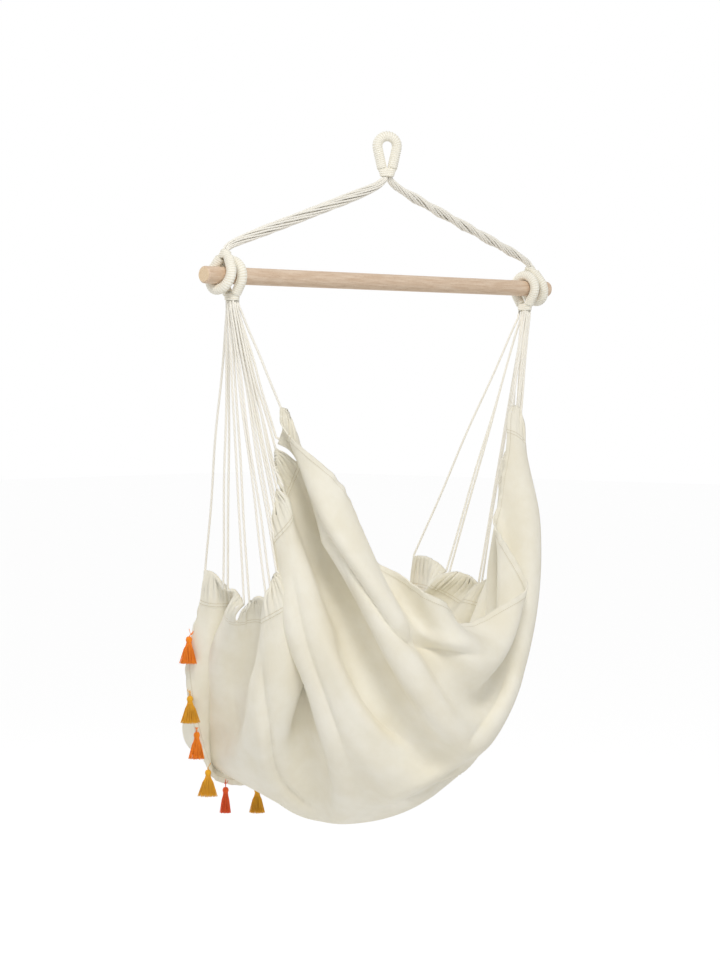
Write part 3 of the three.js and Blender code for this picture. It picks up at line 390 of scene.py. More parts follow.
def tube(points, radii, sides, ridge=None):
    """Rings round a route; ridge(angles) adds to the radius."""
    points = np.asarray(points, dtype=float)
    first, second = sides_along(points)
    angles = np.arange(sides) * 2 * math.pi / sides
    radii = np.broadcast_to(np.asarray(radii, dtype=float), (len(points),))[:, None]
    if ridge is not None:
        radii = radii + ridge(angles)
    around = first[:, None] * np.cos(angles)[None, :, None] + second[:, None] * np.sin(angles)[None, :, None]
    return points[:, None] + around * radii[..., None]


def joined(parts):
    """Several skins as one."""
    points, faces, uv, start = [], [], [], 0
    for part_points, part_faces, part_uv in parts:
        points.append(np.asarray(part_points))
        faces += [tuple(i + start for i in face) for face in part_faces]
        uv += list(part_uv)
        start += len(part_points)
    return np.concatenate(points), faces, uv


def smooth_route(points, count):
    """A centripetal curve through the points, cut into equal steps."""
    points = [np.asarray(p, dtype=float) for p in points]
    points = [2 * points[0] - points[1], *points, 2 * points[-1] - points[-2]]
    route = []
    for a, b, c, d in zip(points, points[1:], points[2:], points[3:]):
        knots = np.cumsum([0, *(np.linalg.norm(q - p) ** 0.5 for p, q in ((a, b), (b, c), (c, d)))])
        for t in np.linspace(knots[1], knots[2], 24, endpoint=False):

            def lerp(p, q, i, j):
                span = knots[j] - knots[i]
                return (knots[j] - t) / span * p + (t - knots[i]) / span * q

            ab, bc, cd = lerp(a, b, 0, 1), lerp(b, c, 1, 2), lerp(c, d, 2, 3)
            abc, bcd = lerp(ab, bc, 0, 2), lerp(bc, cd, 1, 3)
            route.append(lerp(abc, bcd, 1, 2))
    route.append(points[-2])
    return evenly_spaced(np.array(route), count)


# Where the suspension cords run, and the slits between the tabs


def node_points(name):
    mesh = frame["nodes"][name].data
    points = np.empty(len(mesh.vertices) * 3)
    mesh.vertices.foreach_get("co", points)
    return np.unique(np.round(points.reshape(-1, 3), 6), axis=0)


def cord_route(name):
    points = node_points(name)
    top = points[points[:, 2] > points[:, 2].max() - 1e-4].mean(0)
    way = unit(points[points[:, 2].argmin()] - top)
    reach = (points - top) @ way
    end = points[reach > reach.max() - 0.0006].mean(0)
    return top, end


def slit_point(hand, slit):
    span, reach, rise = SLITS[slit]
    return np.array([hand * HALF_SPAN * span, CASING_BACK - CASING_REACH * reach,
                     CASING_RISE * rise - CASING_DROP - BAR_DROP])


def tab_end_points(hand):
    ends = []
    for run in range(2 * TABS):
        slit = math.ceil(run / 2)
        offset = 0 if run in (0, 2 * TABS - 1) else 1 if run % 2 == 0 else -1
        point = slit_point(hand, slit)
        if offset:
            along = unit(slit_point(hand, slit + 1) - slit_point(hand, slit - 1))
            point = point + along * offset * SLIT_WIDTH / 2 + (hand * offset * CORD_SPACING / 2, 0, 0)
        ends.append(point)
    return ends


# Served eyes: a rope loop under one thread in close turns, knotted along its outer edge


class Eye:
    """The loop's way from one leg, round the crown and down the other leg."""

    def __init__(self, middle, side, neckward, radius, leg_reach):
        self.middle, self.side, self.neckward = map(np.array, (middle, side, neckward))
        self.radius, self.leg_reach = radius, leg_reach
        foot = math.hypot(LEG_SPREAD / 2, leg_reach)
        self.touch = math.acos(radius / foot) + math.atan2(LEG_SPREAD / 2, leg_reach)
        self.leg = math.sqrt(foot ** 2 - radius ** 2)
        self.length = 2 * self.leg + radius * (2 * math.pi - 2 * self.touch)
        self.plane = unit(np.cross(self.side, self.neckward))

    def place(self, s, h):
        return self.middle + self.side * s + self.neckward * h

    def flat(self, distance):
        from_end = min(distance, self.length - distance)
        hand = -1 if distance < self.length / 2 else 1
        if from_end < self.leg:
            share = from_end / self.leg
            return (hand * (LEG_SPREAD / 2 * (1 - share) + share * self.radius * math.sin(self.touch)),
                    self.leg_reach * (1 - share) + share * self.radius * math.cos(self.touch))
        angle = self.touch + (from_end - self.leg) / self.radius
        return hand * self.radius * math.sin(angle), self.radius * math.cos(angle)

    def leg_distance(self, h):
        return self.leg * (self.leg_reach - h) / (self.leg_reach - self.radius * math.cos(self.touch))


TURN_STEPS = 8  # rings to a turn of the thread
SERVING_PITCH, SERVING_SIDES = 0.0043, 28
THREAD_RIDGE, HALF_RIDGE = 0.0006, 0.0005
EDGE_KNOT, EDGE_KNOT_ANGLE = 0.0009, 0.34
BINDING_PITCH, BINDING_SIDES, BINDING_RIDGE, BINDING_SINK, LEAST_WRAPS = 0.0024, 36, 0.0007, 0.0006, 4


def bulge(turn):
    """A half circle's height over each whole turn."""
    return np.sqrt(1 - (2 * (turn % 1) - 1) ** 2)


def oval(centre, angles, wide, thick, side, front):
    return centre + (np.cos(angles) * wide)[:, None] * side + (np.sin(angles) * thick)[:, None] * front


def serve_eye(name, eye, neck_top, neck_end, neck_width, end_thickness, body):
    """The loop under its thread, and the bound neck that closes it."""
    start = eye.leg_distance(neck_top + 0.001)
    steps = TURN_STEPS * round((eye.length - 2 * start) / SERVING_PITCH)
    angles = np.arange(SERVING_SIDES) * 2 * math.pi / SERVING_SIDES
    knot = EDGE_KNOT * np.exp(-(np.minimum(angles, 2 * math.pi - angles) / EDGE_KNOT_ANGLE) ** 2)
    rings = []
    for step in range(steps + 1):
        distance = start + (eye.length - 2 * start) * step / steps
        centre = eye.place(*eye.flat(distance))
        tangent = unit(eye.place(*eye.flat(min(distance + 2e-4, eye.length - 1e-6)))
                       - eye.place(*eye.flat(max(distance - 2e-4, 1e-6))))
        inwards = np.cross(eye.plane, tangent)
        outwards = -inwards if inwards @ (eye.middle - centre) > 0 else inwards
        turn = step / TURN_STEPS - angles / (2 * math.pi)
        ridge = THREAD_RIDGE * bulge(turn) + HALF_RIDGE * bulge(2 * turn)
        knotted = knot * (0.5 + 0.5 * np.sin(2 * math.pi * (step / TURN_STEPS)))
        radius = SERVED_RADIUS - THREAD_RIDGE - HALF_RIDGE + ridge + knotted
        rings.append(oval(centre, angles, radius, radius, outwards, eye.plane))
    add_piece(f"{name}_serving", skin(rings), body, "serving_thread", f"{name}_winding")

    down = unit(eye.neckward)
    thick = unit(np.cross(down, eye.side))
    legs_half = abs(eye.flat(eye.leg_distance(neck_top))[0]) + SERVED_RADIUS
    legs_thick = NECK_THICKNESS / 2
    stations = np.array([  # share of the neck passed, half width and half thickness there
        (0, legs_half * 0.85, legs_thick * 0.8),
        (0.15, legs_half, legs_thick),
        (0.5, legs_half + (neck_width / 2 - legs_half) * 0.7, (legs_thick + end_thickness / 2) / 2),
        (0.92, neck_width / 2, end_thickness / 2),
        (1, neck_width * 0.47, end_thickness * 0.47),
    ])
    length = neck_end - neck_top
    steps = TURN_STEPS * max(LEAST_WRAPS, round(length / BINDING_PITCH))
    angles = np.arange(BINDING_SIDES) * 2 * math.pi / BINDING_SIDES
    rings = []
    for step in range(steps + 1):
        share = step / steps
        half, half_thick = (np.interp(share, stations[:, 0], stations[:, column]) for column in (1, 2))
        ridge = BINDING_RIDGE * bulge(step / TURN_STEPS - angles / (2 * math.pi)) - BINDING_SINK
        centre = eye.place(0, neck_top + length * share)
        rings.append(oval(centre, angles, half + ridge, half_thick + ridge, eye.side, thick))
    add_piece(f"{name}_binding", skin(rings), body, "serving_thread", name)


# Hanging ropes: bundles of thin cords between the upper eyes and the hanging eye

OUTER_STRANDS, INNER_STRANDS = 10, 3
INNER_SHARE, STRAND_SHARE = 0.42, 0.235
ROPE_END_HALF, ROPE_DIAMETER, ROPE_POINTS = 0.0065, 0.0165, 160
ROPE_LAYS = {  # turns of the strands inside the bundle, turns of the whole bundle, half its width and depth
    "left": (1.1, 0, 0.0103, 0.0082),
    "right": (0, 3, 0.0104, 0.0078),
}


def hang_rope(label, hand, low, neck_out):
    """Strands of one bundle, from under the hanging eye's neck to the upper eye's."""
    high = hook_eye.place(0, HOOK_NECK_END) + (hand * ROPE_EXIT, 0, -SEAT_GAP)
    slope = math.atan2(high[2] - low[2], abs(low[0] - high[0]))
    along = np.array([hand * math.cos(slope), 0, -math.sin(slope)])
    lead = ROPE_LEAD
    route = smooth_route([
        high, high - (0, 0, lead),
        high - (0, 0, 2.1 * lead) + along * 3 * lead, high - (0, 0, 2.7 * lead) + along * 8 * lead,
        low + (0, 0, 1.7 * lead) - along * 9 * lead, low + (0, 0, 1.6 * lead) - along * 3 * lead,
        low + neck_out * lead, low,
    ], ROPE_POINTS)
    share = np.linspace(0, 1, len(route))
    swell = np.sin(math.pi * np.minimum(1, 4 * np.minimum(share, 1 - share)) / 2)
    lay_turns, twist_turns, high_half, deep_half = ROPE_LAYS[label]
    half = ROPE_END_HALF + (high_half - ROPE_END_HALF) * swell
    deep = ROPE_END_HALF + (deep_half - ROPE_END_HALF) * swell
    twist = 2 * math.pi * twist_turns * share
    first, second = sides_along(route)
    strands = []
    for strand in range(OUTER_STRANDS + INNER_STRANDS):
        outer = strand < OUTER_STRANDS
        in_ring = OUTER_STRANDS if outer else INNER_STRANDS
        thin = STRAND_SHARE * np.minimum(half, deep) * (1 + 0.05 * math.sin(2.3 * strand))
        wander = np.sin(2 * math.pi * (share * (1.3 + 0.37 * strand) + 0.31 * strand))
        angle = 2 * math.pi * (strand / in_ring + lay_turns * share) + 0.07 * wander
        out = (1 if outer else INNER_SHARE) * (1 + 0.03 * wander * swell)
        wide, narrow = np.cos(angle) * (half - thin) * out, np.sin(angle) * (deep - thin) * out
        centre = (route + first * (wide * np.cos(twist) - narrow * np.sin(twist))[:, None]
                  + second * (wide * np.sin(twist) + narrow * np.cos(twist))[:, None])
        strands.append(skin(tube(centre, thin, 9)))
    rope = add_piece(f"twisted_rope_{label}", joined(strands), "hanger", "cotton_rope", f"hanging_rope_{label}")


turned = math.radians(HOOK_EYE_TURN)
hook_eye = Eye((0, 0, SERVED_RADIUS - HOOK_EYE_RADIUS), (math.cos(turned), math.sin(turned), 0), (0, 0, -1),
               HOOK_EYE_RADIUS, HOOK_LEG)
serve_eye("hanging_eye", hook_eye, HOOK_NECK_TOP, HOOK_NECK_END, HOOK_NECK_WIDTH, HOOK_NECK_WIDTH, "hanger")
lean = math.tan(math.radians(UPPER_EYE_LEAN))
for hand, label in ((1, "left"), (-1, "right")):
    upper = Eye((hand * UPPER_EYE_X, 0, BAR_PLAY - SEAT_GAP - BAR_DROP), (0, hand, 0), (-hand * lean, 0, 1),
                RING_RADIUS, RING_LEG)
    serve_eye(f"upper_eye_{label}", upper, RING_NECK_TOP, RING_NECK_END, UPPER_NECK_WIDTH, UPPER_NECK_WIDTH,
              "hanger")
    lower = Eye((hand * LOWER_EYE_X, 0, SEAT_GAP - BAR_PLAY - BAR_DROP), (0, -hand, 0), (0, 0, -1),
                RING_RADIUS, RING_LEG)
    serve_eye(f"lower_eye_{label}", lower, RING_NECK_TOP, RING_NECK_END, LOWER_NECK_WIDTH,
              LOWER_NECK_SHARE * LOWER_NECK_WIDTH, "seat")
    neck_out = unit(upper.neckward)
    hang_rope(label, hand, upper.place(0, RING_NECK_END) + neck_out * SEAT_GAP, neck_out)


# Seat cloth: a grid of cells hung from the cord ends, settled under its own weight

CELLS_PER_TAB, CELLS_ACROSS, SLIT_CELLS = 9, 69, 3
ROWS, ROW_POINTS = TABS * CELLS_PER_TAB, 81
LEAST_GATHER, GATHER_END, GATHER_FREE = 0.7, 0.06, 0.2  # length kept at the side, and the gathers' reach
BENDS = (2, 0.97), (4, 0.92), (7, 0.8)  # cells apart, and the least share of that distance
SLANT_PULL, BEND_PULL = 0.35, 0.5
ROUNDS, SWEEPS, KEPT_SPEED, FALL = 150, 8, 0.9, 0.0002
GUIDE, LATE_GUIDE, LATE_FROM = 0.3, 0.06, 0.8  # pull towards the start's broad form, and when it weakens
EDGE_GUIDE, EDGE_BAND, GUIDE_REACH = 0.3, 0.12, 5
SMOOTHINGS, SMOOTHING = 2, 0.4
LAYER_GAP, TAB_ARCH = 0.012, 0.012
BACK_LOBE, BACK_LOBE_WAY = 0.028, (0, 0.9, 0.45)


def between(table, share):
    """The table's values at a share, in straight lines from row to row."""
    at = max(1, next(k for k, row in enumerate(table) if row[0] >= share - 1e-9))
    low, high = table[at - 1], table[at]
    t = (share - low[0]) / (high[0] - low[0])
    return [a + (b - a) * t for a, b in zip(low[1:], high[1:])]


def start_row(v):
    """The guide's row of points at this share along the cloth, from casing to casing."""
    tab = min(int(v * TABS), TABS - 1)
    edge = slit_point(1, tab) + (slit_point(1, tab + 1) - slit_point(1, tab)) * (v * TABS - tab)
    back, sag = between(MIDDLE, v)
    depth_bend, height_bend, flare_share = between(ROW_BENDS, v)
    middle_y, middle_z = SEAT_BACK - SEAT_DEPTH * back, -BAR_DROP - CASING_DROP - SEAT_SAG * sag
    out = np.linspace(-1, 1, ROW_POINTS)
    flare = flare_share * CUFF_FLARE * np.sin(math.pi * out ** 2)
    row = np.stack([
        -out * edge[0] - np.sign(out) * flare,
        middle_y + (edge[1] - middle_y) * np.abs(out) ** depth_bend + CUFF_TURN * flare,
        middle_z + (edge[2] - middle_z) * np.abs(out) ** height_bend,
    ], 1)
    return evenly_spaced(row, CELLS_ACROSS + 1)


class Grid:
    """The cloth's nodes. A slit's nodes are doubled near the side edges, one for each tab."""

    def __init__(self):
        self.ids, self.places, self.cells = {}, [], []
        for j in range(ROWS):
            tab = j // CELLS_PER_TAB
            for i in range(CELLS_ACROSS):
                self.cells.append([self.at(i, j, tab), self.at(i + 1, j, tab),
                                   self.at(i + 1, j + 1, tab), self.at(i, j + 1, tab)])
        self.places, self.cells = np.array(self.places), np.array(self.cells)

    def near_side(self, i):
        return i < SLIT_CELLS or i > CELLS_ACROSS - SLIT_CELLS

    def at(self, i, j, tab):
        slit = self.near_side(i) and j % CELLS_PER_TAB == 0 and 0 < j < ROWS
        key = (i, j, tab if slit else -1)
        if key not in self.ids:
            self.ids[key] = len(self.places)
            self.places.append((i, j))
        return self.ids[key]

    def reach(self, i, j, di, dj):
        """The nodes this far apart, or None past an edge or across a slit."""
        if i + di > CELLS_ACROSS or j + dj > ROWS:
            return None
        if dj and self.near_side(i) and j // CELLS_PER_TAB != (j + dj - 1) // CELLS_PER_TAB:
            return None
        tab = min(j, ROWS - 1) // CELLS_PER_TAB
        return self.at(i, j, tab), self.at(i + di, j + dj, tab)


def cloth_links(grid):
    """Each pair of nodes with its rest length, its pull and whether it only stops bending."""
    wide, long = CLOTH_WIDTH / CELLS_ACROSS, CLOTH_LENGTH / ROWS
    from_side = np.minimum(np.arange(CELLS_ACROSS + 1), CELLS_ACROSS - np.arange(CELLS_ACROSS + 1)) * wide
    gather = LEAST_GATHER + (1 - LEAST_GATHER) * smooth((from_side - GATHER_END) / (GATHER_FREE - GATHER_END))
    links = {}

    def link(a, b, rest, pull, stops_bend=False):
        links.setdefault((min(a, b), max(a, b)), (rest, pull, stops_bend))

    for (a, b, c, d), (i, _) in zip(grid.cells, grid.places[grid.cells[:, 0]]):
        slant = math.hypot(wide, long * (gather[i] + gather[i + 1]) / 2)
        link(a, b, wide, 1)
        link(d, c, wide, 1)
        link(a, d, long * gather[i], 1)
        link(b, c, long * gather[i + 1], 1)
        link(a, c, slant, SLANT_PULL)
        link(b, d, slant, SLANT_PULL)
    cuff = int(ROWS * CUFF_FOLD)
    for j in range(ROWS + 1):
        for i in range(CELLS_ACROSS + 1):
            for step, share in BENDS:
                across = grid.reach(i, j, step, 0)
                if across:
                    link(*across, step * wide * share, BEND_PULL, True)
                along = None if j < cuff < j + step else grid.reach(i, j, 0, step)
                if along:
                    link(*along, step * long * share * gather[i], BEND_PULL, True)
    return links


def apart_sets(links, count):
    """The links in sets in which no node comes twice."""
    used, sets = [0] * count, {}
    for (a, b), facts in links.items():
        taken, number = used[a] | used[b], 0
        while taken >> number & 1:
            number += 1
        used[a] |= 1 << number
        used[b] |= 1 << number
        sets.setdefault(number, []).append((a, b, *facts))
    return [tuple(np.array(column) for column in zip(*rows)) for rows in sets.values()]


def pull_links(place, sets):
    for a, b, rest, pull, stops_bend in sets:
        way = place[b] - place[a]
        length = np.sqrt(np.einsum("ij,ij->i", way, way)) + 1e-12
        share = pull * (length - rest) / length / 2
        share[stops_bend & (length >= rest)] = 0
        way *= share[:, None]
        place[a] += way
        place[b] -= way


def keep_layers_apart(place, grid, gap):
    cell = np.floor(place / gap).astype(np.int64)
    cell -= cell.min(0) - 1
    size = cell.max(0) + 3
    key = (cell[:, 0] * size[1] + cell[:, 1]) * size[2] + cell[:, 2]
    order = np.argsort(key, kind="stable")
    ranked = key[order]
    pairs = []
    for dx in (0, 1):
        for dy in (-1, 0, 1):
            for dz in (-1, 0, 1):
                step = (dx * size[1] + dy) * size[2] + dz
                if step < 0:
                    continue
                low = np.searchsorted(ranked, key + step, "left")
                count = np.searchsorted(ranked, key + step, "right") - low
                for k in range(count.max()):
                    here = np.nonzero(count > k)[0]
                    there = order[low[here] + k]
                    keep = here < there if step == 0 else np.ones(len(here), bool)
                    pairs.append(np.stack([here[keep], there[keep]], 1))
    a, b = np.concatenate(pairs).T
    far = np.abs(grid.places[a] - grid.places[b]).max(1) > 1
    a, b = a[far], b[far]
    way = place[b] - place[a]
    length = np.linalg.norm(way, axis=1) + 1e-9
    close = length < gap
    a, b, way, length = a[close], b[close], way[close], length[close]
    move = way * ((gap - length) / length / 2)[:, None]
    moved, times = np.zeros_like(place), np.ones(len(place))
    np.add.at(moved, a, -move)
    np.add.at(moved, b, move)
    np.add.at(times, a, 1)
    np.add.at(times, b, 1)
    place += moved / np.maximum(times - 1, 1)[:, None]


def broad(field, reach):
    """The field with everything narrower than the reach smoothed away."""
    for axis in (0, 1, 0, 1):
        edge = [(0, 0)] * 3
        edge[axis] = (reach + 1, reach)
        total = np.cumsum(np.pad(field, edge, mode="edge"), axis=axis)
        count = field.shape[axis]
        high = np.take(total, np.arange(2 * reach + 1, 2 * reach + 1 + count), axis=axis)
        field = (high - np.take(total, np.arange(count), axis=axis)) / (2 * reach + 1)
    return field


def tab_pins(grid):
    """Each tab's end edge, gathered on its cord in a low arch; the back corner's tab bulges to the back."""
    pins = {}
    for hand, i in ((1, 0), (-1, CELLS_ACROSS)):
        ends = tab_end_points(hand)
        eye = np.array([hand * LOWER_EYE_X, 0, -BAR_DROP])
        for tab in range(TABS):
            for k in range(CELLS_PER_TAB + 1):
                t = k / CELLS_PER_TAB
                point = ends[2 * tab] + (ends[2 * tab + 1] - ends[2 * tab]) * t
                point = point + unit(eye - point) * TAB_ARCH * 4 * t * (1 - t)
                if tab == 0:
                    point = point + np.array(BACK_LOBE_WAY) * BACK_LOBE * math.sin(math.pi * t)
                pins[grid.at(i, tab * CELLS_PER_TAB + k, tab)] = point
    return pins


def settle_cloth(grid):
    """The nodes' places once the cloth has come to rest round its guide."""
    sets = apart_sets(cloth_links(grid), len(grid.places))
    start = np.stack([start_row(j / ROWS) for j in range(ROWS + 1)])
    i, j = grid.places.T
    place = start[j, i].copy()
    pins = tab_pins(grid)
    pinned, pin_at = np.array(list(pins)), np.array(list(pins.values()))
    last = place.copy()
    share = j / ROWS
    edges = EDGE_GUIDE * smooth(1 - share / EDGE_BAND) + EDGE_GUIDE * smooth(1 - (1 - share) / EDGE_BAND)
    for number in range(ROUNDS):
        place, last = place + (place - last) * KEPT_SPEED, place.copy()
        place[:, 2] -= FALL
        for _ in range(SWEEPS):
            place[pinned] = pin_at
            pull_links(place, sets)
        place[pinned] = pin_at
        guide = (GUIDE if number < LATE_FROM * ROUNDS else LATE_GUIDE) + edges
        field, times = np.zeros_like(start), np.zeros(start.shape[:2])
        np.add.at(field, (j, i), start[j, i] - place)
        np.add.at(times, (j, i), 1)
        move = broad(field / times[..., None], GUIDE_REACH)[j, i] * guide[:, None]
        place += move
        last += move
        keep_layers_apart(place, grid, LAYER_GAP)
    place[pinned] = pin_at
    free = np.ones(len(place), bool)
    free[pinned] = False
    for _ in range(SMOOTHINGS):
        place[free] += SMOOTHING * (beside(grid, place) - place)[free]
    return place


def beside(grid, place):
    """The middle of each node's neighbours."""
    sums, times = np.zeros_like(place), np.zeros(len(place))
    for corner in range(4):
        for other in (corner - 1, (corner + 1) % 4):
            np.add.at(sums, grid.cells[:, corner], place[grid.cells[:, other]])
            np.add.at(times, grid.cells[:, corner], 1)
    return sums / times[:, None]


def work_in_modifiers(piece):
    graph = bpy.context.evaluated_depsgraph_get()
    shaped = piece.evaluated_get(graph)
    mesh = bpy.data.meshes.new_from_object(shaped, preserve_all_data_layers=True, depsgraph=graph)
    piece.modifiers.clear()
    piece.data = mesh


def read(mesh, count, field, values=3):
    numbers = np.empty(count * values)
    mesh.foreach_get(field, numbers)
    return numbers.reshape(count, values) if values > 1 else numbers.astype(int)


def flat_places(mesh):
    """Where each vertex lies on the flat cloth."""
    loops = len(mesh.loops)
    at, corners = read(mesh.loops, loops, "vertex_index", 1), read(mesh.uv_layers["flat"].data, loops, "uv", 2)
    places = np.zeros((len(mesh.vertices), 2))
    places[at] = corners
    return places


def seen_from_camera(places):
    """Where the camera sees each place, in pixels of the picture."""
    turn = camera.rotation_euler.to_matrix()
    seen = (places - np.array(camera.location)) @ np.array(turn)
    scale = camera.data.lens / camera.data.sensor_width * PICTURE_HEIGHT
    return np.stack([PICTURE_WIDTH / 2 - scale * seen[:, 0] / seen[:, 2],
                     PICTURE_HEIGHT / 2 + scale * seen[:, 1] / seen[:, 2]], 1)


def beside_line(seen, line):
    """Signed distance from a line in the picture, and the share of it passed."""
    line = smooth_route(line, 24)
    lengths = steps_of(line)
    passed = passed_at(line) / lengths.sum()
    nearest, side, share = np.full(len(seen), np.inf), np.zeros(len(seen)), np.zeros(len(seen))
    for number, (a, b) in enumerate(zip(line, line[1:])):
        way = unit(b - a)
        along = np.clip((seen - a) @ way, 0, lengths[number])
        off = seen - a - along[:, None] * way
        far = np.linalg.norm(off, axis=1)
        closer = far < nearest
        nearest[closer] = far[closer]
        side[closer] = np.sign(way[0] * off[closer, 1] - way[1] * off[closer, 0])
        share[closer] = passed[number] + (passed[number + 1] - passed[number]) * along[closer] / lengths[number]
    return nearest * side, share


FOLDS = [  # where a crease passes in the picture, its depth in metres, width in pixels, ridge's side
    ([(296, 470), (318, 525), (345, 566), (374, 605), (398, 634), (442, 652), (511, 655)], 0.013, 8, -1),
    ([(290, 560), (305, 640), (326, 703), (352, 772)], 0.010, 8, 1),
    ([(331, 626), (356, 683), (380, 719), (422, 752)], 0.010, 8, 1),
    ([(511, 657), (498, 696), (463, 755)], 0.008, 7, -1),
    ([(491, 748), (415, 798), (346, 822)], 0.009, 7, 1),
    ([(260, 640), (263, 690), (270, 730), (279, 776), (294, 795), (339, 822)], 0.009, 7, 1),
    ([(227, 640), (233, 690), (239, 745)], 0.005, 7, -1),
]
CREASE_ENDS = 0.25  # share of its line in which a crease fades
RIDGE, RIDGE_AT, VALLEY_WIDTH = 0.8, 1.4, 0.6  # height as a share of the depth, and widths from the line
EDGE_ON, FULLY_FACING = 0.02, 0.2
CREASED_TO, CREASE_FADE = 0.8, 0.1  # shares along the cloth
PUCKER, PUCKER_PITCHES = 0.0012, (0.0215, 0.0165, 0.0130)
RUFFLE, RUFFLE_PITCHES = 0.0010, (0.041, 0.029)


def crease_and_pucker(mesh):
    """Creases where the camera sees them, and puckers in the gathered tabs and hems."""
    count = len(mesh.vertices)
    places, normals = read(mesh.vertices, count, "co"), read(mesh.vertices, count, "normal")
    towards = np.array(camera.location) - places
    towards /= np.linalg.norm(towards, axis=1, keepdims=True)
    facing = np.einsum("ij,ij->i", normals, towards)
    across, along = flat_places(mesh).T
    seen = seen_from_camera(places)
    rise = np.zeros(count)
    for line, depth, width, hand in FOLDS:
        distance, share = beside_line(seen, line)
        distance = distance * hand / width
        ends = smooth(share / CREASE_ENDS) * smooth((1 - share) / CREASE_ENDS)
        ridge, valley = RIDGE * np.exp(-(distance - RIDGE_AT) ** 2), np.exp(-np.abs(distance) / VALLEY_WIDTH)
        rise += depth * ends * (ridge - valley)
    # None where the cloth is seen edge on, nor on the seat's front
    rise *= np.sign(facing) * smooth((np.abs(facing) - EDGE_ON) / (FULLY_FACING - EDGE_ON))
    rise *= smooth((CREASED_TO - along / CLOTH_LENGTH) / CREASE_FADE)
    to_side = np.minimum(across, CLOTH_WIDTH - across)
    to_end = np.minimum(along, CLOTH_LENGTH - along)
    tab, from_slit = np.divmod(along / CLOTH_LENGTH * TABS, 1)
    from_slit = np.minimum(from_slit, 1 - from_slit) * CLOTH_LENGTH / TABS
    waves = sum(
        np.sin(2 * math.pi * along / pitch + 1.7 * number * tab + number + 14 * across * (number - 1))
        for number, pitch in enumerate(PUCKER_PITCHES))
    gathered = smooth((from_slit - 0.006) / 0.02) * (1 - smooth((to_side - 0.03) / 0.05))
    rise += PUCKER * waves * gathered * (0.35 + 0.65 * smooth(to_side / 0.02))
    ruffle = sum(np.sin(2 * math.pi * across / pitch + number) for number, pitch in enumerate(RUFFLE_PITCHES))
    rise += RUFFLE * ruffle * (1 - smooth(to_end / 0.035)) * smooth((to_side - 0.05) / 0.05)
    mesh.vertices.foreach_set("co", (places + normals * rise[:, None]).reshape(-1))
    mesh.update()


grid = Grid()
cloth_place = settle_cloth(grid)
cut = np.array([CLOTH_WIDTH / CELLS_ACROSS, CLOTH_LENGTH / ROWS]) * grid.places
cloth = add_piece("hung_seat_cloth", (cloth_place, grid.cells, cut[grid.cells.reshape(-1)]), "seat",
                  "cotton_canvas", "seat_cloth", "flat")
heavy = cloth.vertex_groups.new(name="thickness")
for node, (i, j) in enumerate(grid.places):
    from_side, from_end = min(i, CELLS_ACROSS - i), min(j, ROWS - j)
    hemmed = from_side < HEM_CELLS_SIDE or from_end < HEM_CELLS_END
    thick = EDGE_THICKNESS.get(from_side, HEM_THICKNESS if hemmed else CLOTH_THICKNESS)
    heavy.add([node], thick / THICKEST, "REPLACE")
finer = cloth.modifiers.new("finer", "SUBSURF")
finer.levels = finer.render_levels = 2
finer.boundary_smooth = "PRESERVE_CORNERS"
work_in_modifiers(cloth)
crease_and_pucker(cloth.data)
skinned = cloth.modifiers.new("skinned", "SOLIDIFY")
skinned.thickness, skinned.offset, skinned.vertex_group = THICKEST, 0, "thickness"
work_in_modifiers(cloth)
cloth.data.shade_smooth()


# Suspension cords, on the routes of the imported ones, each led on into its tab's casing

CORD_SWAY, CORD_POINTS, CASING_POINTS, CORD_SIDES = 0.0012, 34, 7, 10

for label, next_to_side in (("left", 1), ("right", CELLS_ACROSS - 1)):
    for run in range(2 * TABS):
        node = f"cord_{label}_{run + 1:02d}"
        top, end = cord_route(node)
        bend = top - (0, 0, CORD_LEAD)
        route = smooth_route([top, bend, bend + (end - bend) * 0.1, end], CORD_POINTS)
        share = np.linspace(0, 1, len(route))
        sway = np.sin(math.pi * share) * CORD_SWAY
        route += np.stack([sway * np.sin(11 * share + run), sway * np.cos(9 * share + 2 * run), 0 * share], 1)
        tab, last = divmod(run, 2)
        row = tab * CELLS_PER_TAB + (CELLS_PER_TAB - 1 if last else 1)
        inside = cloth_place[grid.at(next_to_side, row, tab)]
        led_in = smooth_route([end, end + (inside - end) * 0.4, inside], CASING_POINTS)
        route = np.concatenate([route, led_in[1:]])
        shape = skin(tube(route, CORD_DIAMETER / 2, CORD_SIDES))
        piece = add_piece(f"laced_{node}", shape, "seat", "cotton_rope", node)


# Tassels: a knotted tie, a wound head, a bound neck and a skirt of threads

HEAD, HEAD_RADIUS, HEAD_FOLD, HEAD_FOLDS = 0.012, 0.006, 0.00028, 18
SKIRT, SKIRT_TOP_RADIUS, SKIRT_WIDEST = 0.042, 0.00525, 0.023
SKIRT_ROOT = SKIRT_TOP_RADIUS * 0.86
TIE_STRAND, TIE_COIL, TIE_KNOT_AT = 0.00062, 0.0006, 0.62
KNOT_STRAND, KNOT_BOW, KNOT_LIFT, KNOT_END = 0.00058, 0.0022, 0.0012, 0.0075
NECK_WRAPS, NECK_WRAP_PITCH = 4, 0.0011
THREADS, THREAD_RADIUS, THREAD_SWAY = 170, 0.00052, 0.0006
GOLDEN_TURN = 2.399963
TASSELS = 11
WIDE_TASSELS, WIDER, BIT_WIDER = 4, 0.007, 0.001  # from each corner, and how much wider than the solid
YARNS = [  # from each corner to the middle
    "tassel_orange", "tassel_mustard", "tassel_orange", "tassel_mustard", "tassel_red", "tassel_mustard",
]
DOWN = np.array([0, 0, -1.0])


def head_folds(angles):
    return HEAD_FOLD * np.cos(HEAD_FOLDS * angles)


